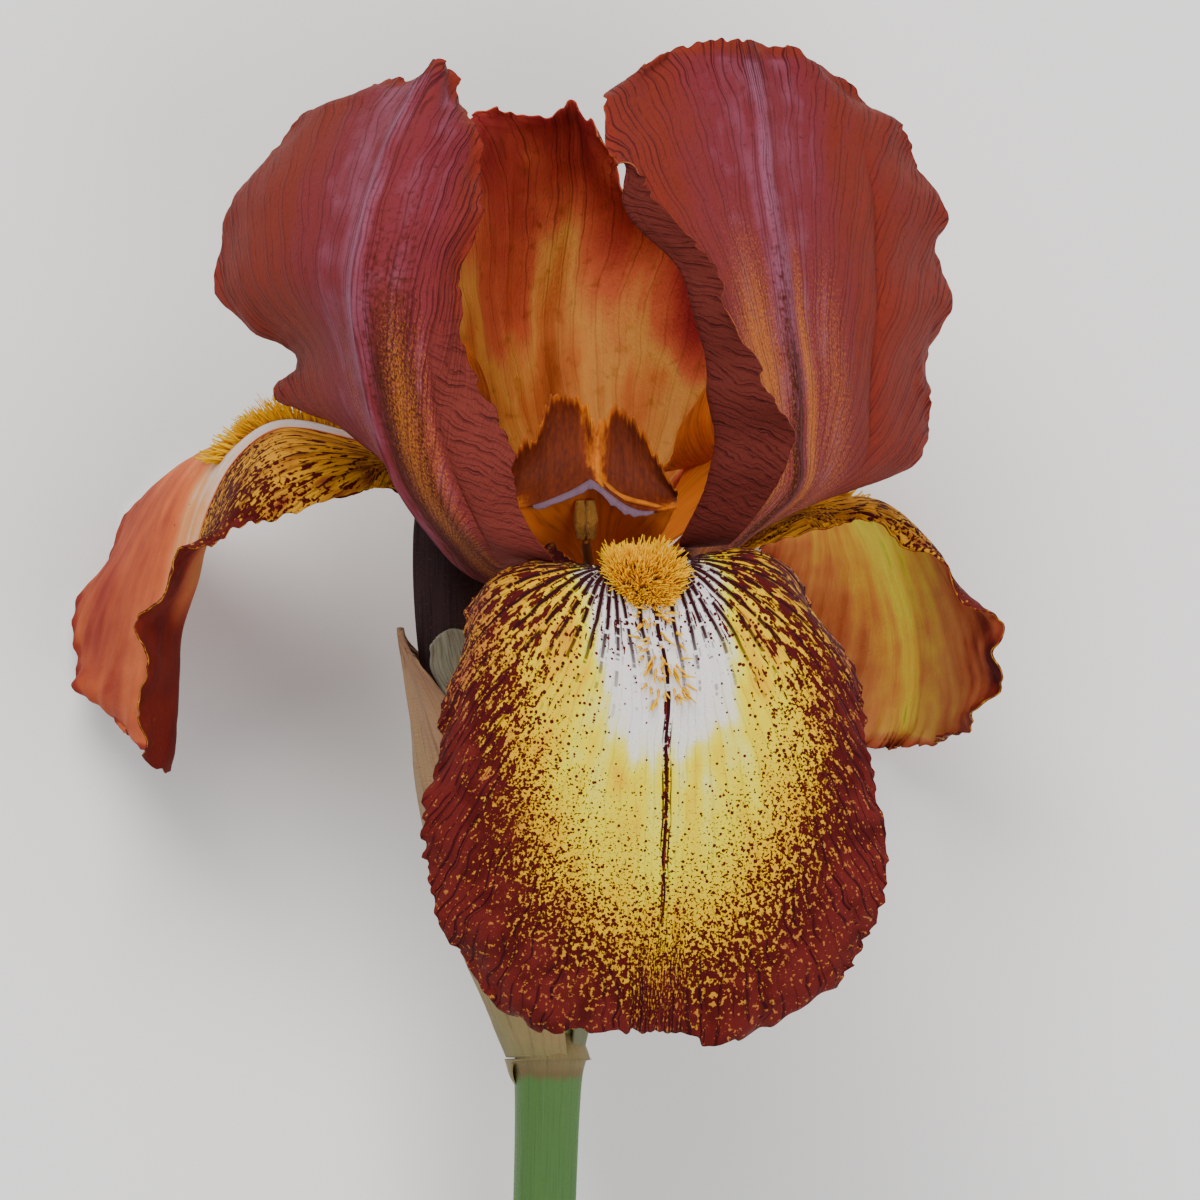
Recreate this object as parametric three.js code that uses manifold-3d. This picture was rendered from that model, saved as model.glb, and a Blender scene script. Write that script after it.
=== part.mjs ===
// A bearded iris bloom, cut with its stem and lying face up. Millimetres, +Z up.
//
// Each petal is a thin sheet over a net of control points, set out in the flower's own
// frame: X to the right, Y along the stem towards the standards, Z out of the face, with
// the origin where the claws meet above the perianth tube. The whole flower is then laid
// down, so that it rests on the two rear falls and on the cut end of the stem.

import * as THREE from 'three';
import { mergeVertices } from 'three/addons/utils/BufferGeometryUtils.js';
import Module from 'manifold-3d';

const wasm = await Module();
wasm.setup();

// How the flower lies: the stem's slope and roll in degrees, and where its origin goes.
const LEAN = 12.57;
const ROLL = -1.23;
const ROW_ORIGIN = [7.89, 41.68, 46.24];

const PETAL_THICKNESS = 0.8;
const CLAW_RADIUS = 5.2;
const CLAW_HALF_WIDTH = 2.4;
const CLAW_BASE_Y = -3.5;
const TUBE_TOP_Y = -3.9;
const SEAT_GAP = 0.3;
const STEM_TOP_Y = -57.5;
const STEM_END_Y = -155;
const STEM_RADIUS = 3.9;
const NODE_RADIUS = 5.5;

// Directions of the petals round the stem, in degrees from the face towards the right.
const AZIMUTH = {
  fall_front: 10, fall_right: 130, fall_left: -110,
  standard_left: -50, standard_right: 70, standard_back: -170,
};

// Control nets: one row per station from the claw out to the tip, seven points across.

// Front fall, left margin to right margin.
const FALL_FRONT = [
  [[-4.6, 3.4, 12], [-2.6, 2.4, 12], [-0.2, 1.8, 12], [2, 1.6, 12],
    [4.2, 1.8, 11.6], [6.4, 2.6, 11.2], [8.2, 3.8, 11]],
  [[-6.2, 7, 19.5], [-4.2, 5, 20], [-0.8, 3.6, 20.2], [2.6, 3.1, 20.2],
    [5.4, 3.5, 19.9], [7.4, 4.5, 19.4], [8.8, 6.2, 19]],
  [[-9.5, 3.8, 26], [-6.8, 4.2, 28], [-1.6, 4, 28.8], [4, 3.8, 29],
    [8.8, 4.4, 28.2], [12, 4.8, 27], [14, 4.6, 25.5]],
  [[-14.4, 1.8, 27.5], [-10.4, 4.1, 32], [-3.4, 3.9, 35.2], [5.4, 2.8, 35.6],
    [13, 5, 34], [19, 5.9, 30.5], [23.4, 3, 26.5]],
  [[-17, -4, 31.5], [-13.4, -0.6, 37], [-4.6, -0.4, 40], [6.8, -1.6, 39.6],
    [16.4, 0.6, 38.8], [23.6, 1, 35.4], [27.8, -3.4, 30]],
  [[-18.8, -11.6, 35], [-14.2, -8.6, 40], [-4.4, -8.2, 42.6], [8.1, -8.8, 41.4],
    [18.6, -7.6, 41.6], [27.2, -8, 38.6], [32.4, -11, 33.6]],
  [[-20.4, -20.6, 37], [-14.8, -19, 41], [-4.4, -18.6, 43], [8.2, -18.6, 41.6],
    [19.4, -18, 42], [28, -18.4, 39.6], [33.2, -19.8, 35.6]],
  [[-21.7, -30, 36.6], [-15.4, -29, 40], [-4.6, -28.6, 41.6], [8, -28.6, 40.4],
    [19.6, -28.4, 40.8], [29, -28.8, 38.8], [35.4, -30, 35.6]],
  [[-20, -38.6, 34.8], [-14.6, -38.6, 37.6], [-4.4, -38.6, 38.8], [7.6, -38.6, 37.8],
    [18.8, -38.6, 38], [28.2, -38.6, 36.6], [34.2, -38.6, 34]],
  [[-16, -46, 32.4], [-11.8, -47, 34.2], [-3.4, -47.4, 35], [7.2, -47.6, 34.2],
    [17.4, -48, 34.4], [25.4, -47.6, 33.6], [30.6, -45.8, 32]],
  [[-11.6, -51, 30.6], [-7.6, -52.8, 31.2], [-1.4, -53.4, 31.6], [6.8, -53, 31.2],
    [14, -54.8, 31], [20, -53.2, 30.8], [26, -49.6, 30.4]],
];

// Left fall, near margin to far margin: a roof over the haft, then a blade folded inwards.
const FALL_LEFT = [
  [[-13.5, 7, -3.6], [-13.8, 7.3, -4.8], [-14, 7.5, -6], [-14.2, 7.6, -7.2],
    [-14.6, 7.4, -8.8], [-15, 7, -10.2], [-15.5, 6.6, -11.5]],
  [[-25, 13.8, -3.5], [-25.4, 15.6, -5], [-25.7, 16.9, -7], [-26, 17.4, -9.5],
    [-26, 16.9, -12], [-26, 15.6, -14.2], [-26, 13.8, -16]],
  [[-33, 12.8, -2.5], [-33, 16.2, -4.2], [-33, 19, -7.5], [-33.2, 20.6, -12],
    [-33.2, 19.2, -16.5], [-33, 16.4, -20], [-33, 13, -22.4]],
  [[-40.5, 10.3, -2], [-40.4, 14.6, -3.8], [-40.3, 18.8, -8], [-40.5, 21.6, -14.5],
    [-41.2, 20.6, -21.5], [-42.4, 17.6, -27.5], [-43.5, 14, -31.5]],
  [[-46.2, 8.6, -1], [-46, 11.6, -4.5], [-45.6, 15, -9.5], [-46, 17.8, -16],
    [-48.5, 19.2, -23.5], [-51.5, 17.8, -33], [-54, 14.4, -42]],
  [[-51.2, 6.6, 0], [-49.6, 7.2, -5], [-49, 8.8, -10], [-49.8, 10.8, -15.5],
    [-54, 13, -24.5], [-58, 12, -36.8], [-60.8, 8.4, -47.6]],
  [[-54.6, 2, 0.5], [-52.4, 2, -5], [-50.6, 2.6, -9.5], [-51.6, 3.6, -14.5],
    [-56.6, 5.5, -24], [-61.2, 5, -35.6], [-64.6, 2, -45.6]],
  [[-57, -3, 0], [-54.8, -3.4, -4.5], [-52.6, -4, -9], [-53.4, -3.6, -14],
    [-58, -2.5, -23.5], [-63, -3, -33.2], [-66.8, -4.5, -41.4]],
  [[-57.2, -9.5, -1], [-55, -10.5, -4.5], [-53, -11.5, -8.5], [-54, -11.5, -13],
    [-57.8, -10.5, -21.5], [-62.5, -10.5, -29.5], [-66.4, -10.5, -36]],
  [[-57.4, -15.5, -2.5], [-55.6, -17, -5], [-53.4, -18, -8.5], [-54.4, -18, -12],
    [-57.2, -16.8, -18.5], [-60.2, -15.8, -25], [-62.8, -14.2, -30.5]],
  [[-57.2, -19.5, -4.5], [-55.6, -21.2, -6], [-53.8, -21.8, -8.5], [-54.6, -21, -11],
    [-56, -19.6, -15], [-57.6, -18.2, -19], [-59.2, -16.8, -23]],
];

// Right fall, near margin to far margin: it arches away and hangs, underside showing.
const FALL_RIGHT = [
  [[13, 4.2, -6.8], [12.6, 4.8, -7.8], [12.1, 5.1, -8.8], [11.5, 5.2, -9.8],
    [10.9, 5.1, -10.8], [10.3, 4.8, -11.7], [9.7, 4.2, -12.6]],
  [[23.5, 7.8, -11], [22.6, 9, -13], [21.4, 9.8, -15], [20, 10.2, -17],
    [18.6, 9.8, -19], [17.2, 9, -21], [15.8, 7.8, -23]],
  [[31.5, 9.8, -13], [30.5, 11.4, -16.5], [29, 12.4, -19.5], [27, 12.8, -22.5],
    [24.6, 12.3, -26.5], [22, 10.9, -30.5], [19.5, 8.6, -34]],
  [[37.5, 8, -12.5], [37, 10.8, -16.5], [35.4, 12.2, -21], [32.3, 12, -27],
    [28.6, 11.2, -33], [24.5, 9.2, -38], [20.4, 6.4, -42]],
  [[42.6, 3.8, -11], [41.6, 6.6, -16.5], [39.4, 8, -23], [35.6, 7.6, -30],
    [31, 6.6, -37], [26, 5, -42.4], [21, 2.8, -46]],
  [[47.2, -0.6, -8.5], [45, 1.6, -15.5], [42, 2.2, -23.5], [37.8, 1.6, -31.5],
    [32.4, 0.8, -38.8], [26.6, -0.4, -43.6], [20.8, -1.8, -46.4]],
  [[50.4, -5.2, -7], [47.4, -4.2, -15], [43.8, -4, -23.5], [39.2, -4.4, -33],
    [33.4, -5.2, -39.6], [27, -6, -43.6], [20.8, -6.8, -45.4]],
  [[49.6, -10.6, -9], [47.2, -10.2, -18], [43.8, -10.4, -27], [39.4, -10.8, -35.6],
    [33.8, -11.4, -40.4], [27.8, -11.8, -43], [22.2, -12, -44]],
  [[47.6, -14.6, -14.5], [45.6, -15.2, -22.5], [42.6, -15.8, -31], [38.6, -16.4, -38],
    [33.8, -16.8, -41.4], [29, -16.6, -42.6], [24.8, -15.8, -42.8]],
  [[44.6, -16.8, -23], [42.8, -17.6, -28.5], [40.4, -18.4, -34.5], [37, -18.8, -39.4],
    [33.6, -19, -41.4], [30.4, -18.6, -41.8], [27.4, -17.6, -41.6]],
];

// Left standard, rear margin over the keel to the flared front margin.
const STANDARD_LEFT = [
  [[-9.4, 4.4, 6.6], [-11, 3.4, 7.6], [-12.8, 2.6, 9], [-14, 2.4, 11.8],
    [-12.8, 2.8, 15.4], [-10.6, 4, 18.8], [-8.4, 6.4, 20.8]],
  [[-15.2, 9.8, 11.6], [-17, 8.8, 12.6], [-18.5, 7.8, 14], [-18.9, 7.2, 16.5],
    [-16.8, 6.6, 20.5], [-13.6, 6.6, 25], [-7.2, 6.6, 27.6]],
  [[-31, 20.6, 8], [-28.8, 19.2, 11.5], [-26.4, 17, 16], [-24.2, 14.5, 20.8],
    [-21, 13, 24.5], [-15.9, 11, 26.5], [-10, 11.2, 27.6]],
  [[-39.8, 25.4, 1], [-35.5, 24.3, 9], [-31.5, 23.8, 17], [-27.2, 22.5, 23.8],
    [-23.8, 21, 27], [-18.7, 19.5, 26.5], [-11.2, 19.4, 26.5]],
  [[-38.8, 30.5, 2], [-36.5, 31.5, 9], [-33.3, 32, 17.5], [-29.2, 32, 25.5],
    [-25.5, 31.5, 28], [-20.5, 30.5, 26.5], [-17.2, 32, 24]],
  [[-47.8, 38.8, -1.5], [-43, 40, 8], [-37, 40.5, 17.5], [-29.7, 40, 26],
    [-26, 40, 28], [-21, 40, 26.5], [-16.8, 40.5, 23.5]],
  [[-46.6, 47.5, -2], [-42.5, 48.5, 7], [-36.5, 48.5, 16], [-28.2, 47.5, 24.8],
    [-24.5, 48, 26.5], [-19.6, 48.5, 24.5], [-14.8, 48.5, 21]],
  [[-41.5, 56, -1], [-38, 57, 6], [-33, 56.5, 13.5], [-25.6, 56, 21.5],
    [-22.5, 56.3, 23], [-18.7, 56.5, 21], [-15, 56, 18]],
  [[-35, 60.8, 2], [-32.3, 62, 6.5], [-28.5, 62, 11.5], [-22.6, 62, 17.5],
    [-20.6, 62.2, 18.6], [-18.8, 62, 17], [-17.2, 61.5, 15]],
  [[-28.5, 64, 5], [-26.5, 64.4, 8], [-24, 65, 11], [-20.4, 66.5, 14.5],
    [-19.6, 66.6, 14.8], [-18.8, 66.3, 14.2], [-18.2, 65.5, 13.4]],
];

// Right standard, rolled-out front margin over the fold and the midrib to the rear margin.
const STANDARD_RIGHT = [
  [[13.4, 7.2, 18.6], [11, 6.8, 17.4], [11.6, 4.8, 13], [13, 3.6, 7],
    [14, 4.2, 3.4], [13.8, 5.4, 1], [13, 7.2, -0.6]],
  [[17, 8.8, 26], [10.6, 9, 23.5], [13.5, 8.2, 18], [17.5, 7.8, 11],
    [19.2, 8.4, 5.4], [19.8, 9.6, 2], [19, 11.4, -0.8]],
  [[22, 14.5, 30.5], [13.6, 14.5, 28.5], [17, 14, 24], [23.7, 13.8, 15],
    [27.5, 13.8, 8], [31, 14, 1.5], [34.8, 15, -5]],
  [[23.7, 20.5, 32.5], [14.4, 20.5, 30], [18, 20, 25.5], [24.2, 20, 16.5],
    [30.5, 19.5, 8.5], [36.5, 19, -0.5], [41.6, 20.5, -9]],
  [[20.2, 27, 32.5], [13.4, 27, 30.5], [17.3, 27, 26], [24, 27, 17],
    [31, 26.5, 8.5], [36.5, 26, -1.5], [40.6, 26.5, -11]],
  [[16.9, 33.5, 32], [12.4, 33.5, 30.5], [15.8, 34, 26.5], [22.9, 34, 17],
    [31, 34, 7.5], [38, 34, -3], [43, 34, -13.5]],
  [[13.5, 41.5, 31.5], [9.6, 41, 30], [13.2, 41.5, 26.5], [22.1, 41.5, 16],
    [31, 42, 5.5], [38, 42, -5], [43, 42, -15]],
  [[7, 49.3, 29.5], [3.2, 48.7, 28.5], [8.6, 49.5, 25.5], [20.8, 50, 14],
    [30.5, 50, 3.5], [37.5, 50, -6], [42.6, 50, -14.5]],
  [[2.4, 55.5, 27.5], [3.6, 56, 25.5], [8.5, 56.8, 21.5], [20, 57.5, 11],
    [28.8, 57.5, 2], [35, 57.2, -5], [39, 57, -12]],
  [[0.3, 61.8, 22.5], [3.6, 62.8, 20], [8.8, 63.6, 16], [19.3, 64.2, 8],
    [26.5, 63.5, 1], [31.5, 62.5, -4], [35, 61.5, -9]],
  [[5, 66, 17.5], [7.5, 67.5, 15.5], [11, 69, 12.5], [18.2, 69.8, 7],
    [22.5, 69, 2.5], [26, 67, -1.5], [29.5, 65.2, -5]],
];

// Back standard, left margin to right margin, hollow towards the face.
const STANDARD_BACK = [
  [[-5, 6.6, -10.4], [-4.1, 5.8, -11.8], [-3, 5.2, -12.9], [-1.8, 5, -13.4],
    [-0.4, 5.2, -13.3], [0.9, 5.8, -12.6], [2, 6.6, -11.4]],
  [[-8.8, 13.8, -17.4], [-7, 13, -19], [-5, 12.6, -20.4], [-2.6, 12.5, -21.2],
    [0.6, 12.6, -21.4], [4.6, 12.9, -21], [9, 13.4, -20]],
  [[-14.2, 20.6, -19], [-11.4, 20.2, -21.6], [-8, 19.8, -24.2], [-3.8, 19.8, -26],
    [2, 20, -26.2], [8, 20.3, -24.8], [14.4, 20.8, -22.4]],
  [[-19, 28.6, -14.6], [-15.4, 28.4, -19.4], [-10.8, 28.2, -25.4], [-4.8, 28, -29],
    [3, 28.2, -29.2], [10.4, 28.8, -26.4], [17.6, 29.4, -22.4]],
  [[-20, 38, -8.5], [-16.5, 37.5, -18], [-11.5, 37, -27], [-5.4, 36.5, -31],
    [3, 37, -29.5], [12, 37.5, -24], [19, 38, -18]],
  [[-19.5, 45.5, -9], [-16, 45.5, -17.5], [-11, 45, -26], [-4.2, 44.5, -30],
    [3, 45, -28.5], [9.5, 45, -24], [14, 45, -20]],
  [[-18.5, 52.5, -9.5], [-15, 52.5, -16], [-10.5, 52, -23], [-3.5, 51.5, -27],
    [0.5, 51.5, -25], [3, 51, -22.5], [5.5, 50, -20]],
  [[-17, 58.8, -11], [-14, 59, -14.5], [-10, 58.5, -18.5], [-4, 58, -21.5],
    [-1.8, 57.5, -21], [-0.2, 56.5, -20], [1.2, 55, -18.5]],
  [[-15.2, 61.5, -13], [-12.5, 61.8, -14.5], [-9, 60.8, -16.3], [-4.5, 62, -17.5],
    [-2.8, 62.2, -17.6], [-1.2, 60.8, -17.5], [0.2, 58.8, -17]],
];

// Waves along a petal's margins and tip: depth in mm, waves along each side and across.
const RUFFLES = {
  fall_front: { depth: 0.9, sides: 8, tip: 4 },
  fall_left: { depth: 0.8, sides: 7, tip: 3 },
  fall_right: { depth: 0.9, sides: 7, tip: 3 },
  standard_left: { depth: 0.7, sides: 7, tip: 2 },
  standard_right: { depth: 0.9, sides: 8, tip: 3 },
  standard_back: { depth: 0.8, sides: 6, tip: 3 },
};

// How each petal's columns run against its claw: +1 when the first column is the claw's
// left side as seen from outside with the tip up, -1 when it is the right side.
const CLAW_SIDE = {
  fall_front: 1, fall_left: -1, fall_right: 1,
  standard_left: 1, standard_right: 1, standard_back: -1,
};

const NETS = {
  fall_front: FALL_FRONT, fall_left: FALL_LEFT, fall_right: FALL_RIGHT,
  standard_left: STANDARD_LEFT, standard_right: STANDARD_RIGHT, standard_back: STANDARD_BACK,
};

const COLOURS = {
  fall: 0x6e2018, standard: 0x8c4140, beard: 0xf0b414, style: 0x96461a, filament: 0xc07818,
  anther: 0xaa6e1e, stem: 0x86aa78, bract: 0xbea082, bract_thin: 0xa8a294, bud: 0x3c2d37,
  ovary: 0x7c9a68,
};

const radians = THREE.MathUtils.degToRad;

const vector = (p) => new THREE.Vector3(p[0], p[1], p[2]);

// A smooth curve through points, one per whole step of s, straight on past its ends.
function alongPoints(points, s) {
  const last = points.length - 1;
  const i = Math.min(Math.max(Math.floor(s), 0), last - 1);
  const before = i > 0 ? points[i - 1] : points[0].clone().multiplyScalar(2).sub(points[1]);
  const after = i + 2 <= last
    ? points[i + 2]
    : points[last].clone().multiplyScalar(2).sub(points[last - 1]);
  const t = s - i;
  const weights = [
    ((2 - t) * t - 1) * t / 2,
    ((3 * t - 5) * t * t + 2) / 2,
    ((4 - 3 * t) * t + 1) * t / 2,
    (t - 1) * t * t / 2,
  ];
  return new THREE.Vector3()
    .addScaledVector(before, weights[0])
    .addScaledVector(points[i], weights[1])
    .addScaledVector(points[i + 1], weights[2])
    .addScaledVector(after, weights[3]);
}

// A point of the smooth sheet over a net, with u across and v along, each from 0 to 1.
function netPoint(net, u, v) {
  const column = net.map((row) => alongPoints(row, u * (row.length - 1)));
  return alongPoints(column, v * (net.length - 1));
}

const SLOPE_STEP = 0.004;

function netNormal(net, u, v) {
  const u0 = Math.max(u - SLOPE_STEP, 0);
  const u1 = Math.min(u + SLOPE_STEP, 1);
  const v0 = Math.max(v - SLOPE_STEP, 0);
  const v1 = Math.min(v + SLOPE_STEP, 1);
  const across = netPoint(net, u1, v).sub(netPoint(net, u0, v));
  const along = netPoint(net, u, v1).sub(netPoint(net, u, v0));
  return across.cross(along).normalize();
}

// Where the seven columns lie across a claw or a style arm.
const ACROSS = [-1, -0.67, -0.33, 0, 0.33, 0.67, 1];

// Claw stations: distance from the stem's axis, height and half width.
const CLAW_STATIONS = [[CLAW_RADIUS, CLAW_BASE_Y, CLAW_HALF_WIDTH], [6.8, 0.2, CLAW_HALF_WIDTH + 0.3]];
const CLAW_EDGE_LIFT = 0.4;

// The two rows of the claw, where a petal stands on the rim of the perianth tube.
function clawRows(name) {
  const angle = radians(AZIMUTH[name]);
  const out = new THREE.Vector3(Math.sin(angle), 0, Math.cos(angle));
  const side = new THREE.Vector3(Math.cos(angle), 0, -Math.sin(angle));
  side.multiplyScalar(CLAW_SIDE[name]);
  return CLAW_STATIONS.map(([radius, height, halfWidth]) => ACROSS.map((share) => {
    const point = out.clone().multiplyScalar(radius).addScaledVector(side, share * halfWidth);
    return point.setY(height + CLAW_EDGE_LIFT * share * share);
  }));
}

function petalNet(name) {
  return [...clawRows(name), ...NETS[name].map((row) => row.map(vector))];
}

// The waves start past the claw and are out of step on the two sides.
const RUFFLE_START = 0.22;
const RUFFLE_FULL = 0.5;
const RUFFLE_SHIFT = 1.9;

function ruffleAt(ruffle, u, v) {
  const edge = Math.abs(2 * u - 1);
  const shift = u < 0.5 ? 0 : RUFFLE_SHIFT;
  const grown = THREE.MathUtils.smoothstep(v, RUFFLE_START, RUFFLE_FULL);
  const alongSide = edge ** 3 * Math.sin(2 * Math.PI * ruffle.sides * v + shift);
  const acrossTip = v ** 8 * (1 - edge ** 2) * Math.sin(2 * Math.PI * ruffle.tip * u);
  return ruffle.depth * grown * (alongSide + acrossTip);
}

const NO_RUFFLE = { depth: 0, sides: 0, tip: 0 };

// A thin closed sheet: front and back faces split alike, joined by a rim.
function sheet(net, across, along, thickness, ruffle = NO_RUFFLE) {
  const positions = [];
  const index = [];
  const columns = across + 1;
  const half = (along + 1) * columns;
  for (const face of [1, -1]) {
    for (let j = 0; j <= along; j += 1) {
      for (let i = 0; i <= across; i += 1) {
        const u = i / across;
        const v = j / along;
        const point = netPoint(net, u, v);
        const lift = face * thickness / 2 + ruffleAt(ruffle, u, v);
        point.addScaledVector(netNormal(net, u, v), lift);
        positions.push(point.x, point.y, point.z);
      }
    }
  }
  for (let j = 0; j < along; j += 1) {
    for (let i = 0; i < across; i += 1) {
      const a = j * columns + i;
      const b = a + 1;
      const c = a + columns;
      const d = c + 1;
      index.push(a, b, d, a, d, c);
      index.push(half + a, half + d, half + b, half + a, half + c, half + d);
    }
  }
  const rim = [];
  for (let i = 0; i < across; i += 1) rim.push(i);
  for (let j = 0; j < along; j += 1) rim.push(j * columns + across);
  for (let i = across; i > 0; i -= 1) rim.push(along * columns + i);
  for (let j = along; j > 0; j -= 1) rim.push(j * columns);
  rim.forEach((a, k) => {
    const b = rim[(k + 1) % rim.length];
    index.push(a, half + a, half + b, a, half + b, b);
  });
  return closedGeometry(positions, index);
}

function closedGeometry(positions, index) {
  const geometry = new THREE.BufferGeometry();
  geometry.setAttribute('position', new THREE.Float32BufferAttribute(positions, 3));
  geometry.setIndex(index);
  return geometry;
}

// A round limb along a path, with one radius per path point and closed ends.
function limb(path, radii, sides, steps) {
  const points = path.map(vector);
  const last = points.length - 1;
  const sizes = radii.map((r) => new THREE.Vector3(r, 0, 0));
  const positions = [];
  const index = [];
  for (let j = 0; j <= steps; j += 1) {
    const s = last * j / steps;
    const centre = alongPoints(points, s);
    const ahead = alongPoints(points, Math.min(s + 0.05, last));
    const behind = alongPoints(points, Math.max(s - 0.05, 0));
    const direction = ahead.sub(behind).normalize();
    const first = new THREE.Vector3(0, 0, 1).cross(direction).normalize();
    const second = direction.clone().cross(first);
    const radius = Math.max(alongPoints(sizes, s).x, 0.12);
    for (let i = 0; i < sides; i += 1) {
      const turn = 2 * Math.PI * i / sides;
      const point = centre.clone()
        .addScaledVector(first, radius * Math.cos(turn))
        .addScaledVector(second, radius * Math.sin(turn));
      positions.push(point.x, point.y, point.z);
    }
  }
  for (let j = 0; j < steps; j += 1) {
    for (let i = 0; i < sides; i += 1) {
      const a = j * sides + i;
      const b = j * sides + (i + 1) % sides;
      index.push(a, b, b + sides, a, b + sides, a + sides);
    }
  }
  for (let i = 1; i < sides - 1; i += 1) {
    index.push(0, i + 1, i);
    const top = steps * sides;
    index.push(top, top + i, top + i + 1);
  }
  return closedGeometry(positions, index);
}

function toSolid(geometry) {
  const bare = new THREE.BufferGeometry();
  bare.setAttribute('position', geometry.getAttribute('position').clone());
  bare.setIndex(geometry.getIndex());
  const merged = mergeVertices(bare, 1e-5);
  return new wasm.Manifold(new wasm.Mesh({
    numProp: 3,
    vertProperties: new Float32Array(merged.getAttribute('position').array),
    triVerts: new Uint32Array(merged.getIndex().array),
  }));
}

function fromSolid(solid) {
  const mesh = solid.getMesh();
  return closedGeometry(Array.from(mesh.vertProperties), Array.from(mesh.triVerts));
}

const flower = new THREE.Group();
flower.rotation.set(radians(LEAN), radians(ROLL), 0, 'XYZ');
flower.position.set(...ROW_ORIGIN);

// Cuts off what would dip under the floor, which leaves a small flat spot to rest on.
function restOnFloor(geometry) {
  const toFlower = new THREE.Quaternion().setFromEuler(flower.rotation).invert();
  const up = new THREE.Vector3(0, 0, 1).applyQuaternion(toFlower);
  return fromSolid(toSolid(geometry).trimByPlane([up.x, up.y, up.z], -ROW_ORIGIN[2]));
}

function add(name, geometry, colour, roughness) {
  const material = new THREE.MeshStandardMaterial({ color: colour, roughness, metalness: 0 });
  const mesh = new THREE.Mesh(geometry, material);
  mesh.name = name;
  flower.add(mesh);
}

const PETAL_CELLS = { across: 12, along: 18 };

function addPetals() {
  for (const name of Object.keys(NETS)) {
    const isFall = name.startsWith('fall');
    const { across, along } = PETAL_CELLS;
    const petal = sheet(petalNet(name), across, along, PETAL_THICKNESS, RUFFLES[name]);
    const rests = name === 'fall_left' || name === 'fall_right';
    const colour = isFall ? COLOURS.fall : COLOURS.standard;
    add(name, rests ? restOnFloor(petal) : petal, colour, 0.7);
  }
}

// A beard: a slim strip along the fall's midrib with its upper face raised in hairs.
// Width and reach are shares of the fall's net, the rest is in millimetres or cells.
const BEARD = {
  half: 0.07, cells: 5, stations: 22, gap: 0.95, base: 0.8, height: 2.6, lean: 0.8,
  endWidth: 0.55, widening: 3,
};
const BEARD_SPAN = { fall_front: [0.3, 0.54], fall_left: [0.24, 0.5], fall_right: [0.3, 0.56] };
const BEARD_FACE = { fall_front: -1, fall_left: 1, fall_right: -1 };

function beard(name) {
  const net = petalNet(name);
  const face = BEARD_FACE[name];
  const [from, to] = BEARD_SPAN[name];
  const point = (i, j, height) => {
    const v = from + (to - from) * j / BEARD.stations;
    const fromEnd = Math.min(j, BEARD.stations - j) / BEARD.stations;
    const taper = Math.min(1, BEARD.endWidth + BEARD.widening * fromEnd);
    const u = 0.5 + (2 * i / BEARD.cells - 1) * BEARD.half * taper;
    return netPoint(net, u, v).addScaledVector(netNormal(net, u, v), face * height);
  };
  const positions = [];
  const index = [];
  const columns = BEARD.cells + 1;
  const push = (p) => positions.push(p.x, p.y, p.z) / 3 - 1;
  for (const height of [BEARD.gap + BEARD.base, BEARD.gap]) {
    for (let j = 0; j <= BEARD.stations; j += 1) {
      for (let i = 0; i <= BEARD.cells; i += 1) push(point(i, j, height));
    }
  }
  const half = (BEARD.stations + 1) * columns;
  const triangle = (a, b, c) => (face > 0 ? index.push(a, b, c) : index.push(a, c, b));
  for (let j = 0; j < BEARD.stations; j += 1) {
    for (let i = 0; i < BEARD.cells; i += 1) {
      const a = j * columns + i;
      const b = a + 1;
      const c = a + columns;
      const d = c + 1;
      const unevenness = ((i * 7 + j * 5) % 4) / 3;
      const tall = BEARD.height * (0.8 + 0.4 * unevenness);
      const tip = push(point(i + 0.5, j + 0.5 + BEARD.lean, BEARD.gap + BEARD.base + tall));
      triangle(a, b, tip);
      triangle(b, d, tip);
      triangle(d, c, tip);
      triangle(c, a, tip);
      triangle(half + a, half + d, half + b);
      triangle(half + a, half + c, half + d);
    }
  }
  const rim = [];
  for (let i = 0; i < BEARD.cells; i += 1) rim.push(i);
  for (let j = 0; j < BEARD.stations; j += 1) rim.push(j * columns + BEARD.cells);
  for (let i = BEARD.cells; i > 0; i -= 1) rim.push(BEARD.stations * columns + i);
  for (let j = BEARD.stations; j > 0; j -= 1) rim.push(j * columns);
  rim.forEach((a, k) => {
    const b = rim[(k + 1) % rim.length];
    triangle(a, half + a, half + b);
    triangle(a, half + b, b);
  });
  return closedGeometry(positions, index);
}

// The style: three arms arching over the falls, each with an upright two-lobed crest.
const STYLE_ARMS = {
  front: { azimuth: -2, climb: 0, breadth: 1, droop: 1 },
  left: { azimuth: -112, climb: 0.45, breadth: 0.72, droop: 0.55 },
  right: { azimuth: 126, climb: 0.25, breadth: 0.8, droop: 0.55 },
};
const COLUMN_RADIUS = 2;
const STYLE_THICKNESS = 0.8;
// Arm stations: radius, height, half width and how far the edges droop.
const ARM = [
  [0.6, -2.6, 1.3, 0], [3.6, 2.6, 2, 0.3], [7.6, 7.2, 4, 1.2], [12.4, 10.8, 6.8, 2.8], [17.6, 13.6, 9.2, 4.4],
  [20.6, 14.4, 9.8, 5],
];
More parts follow.
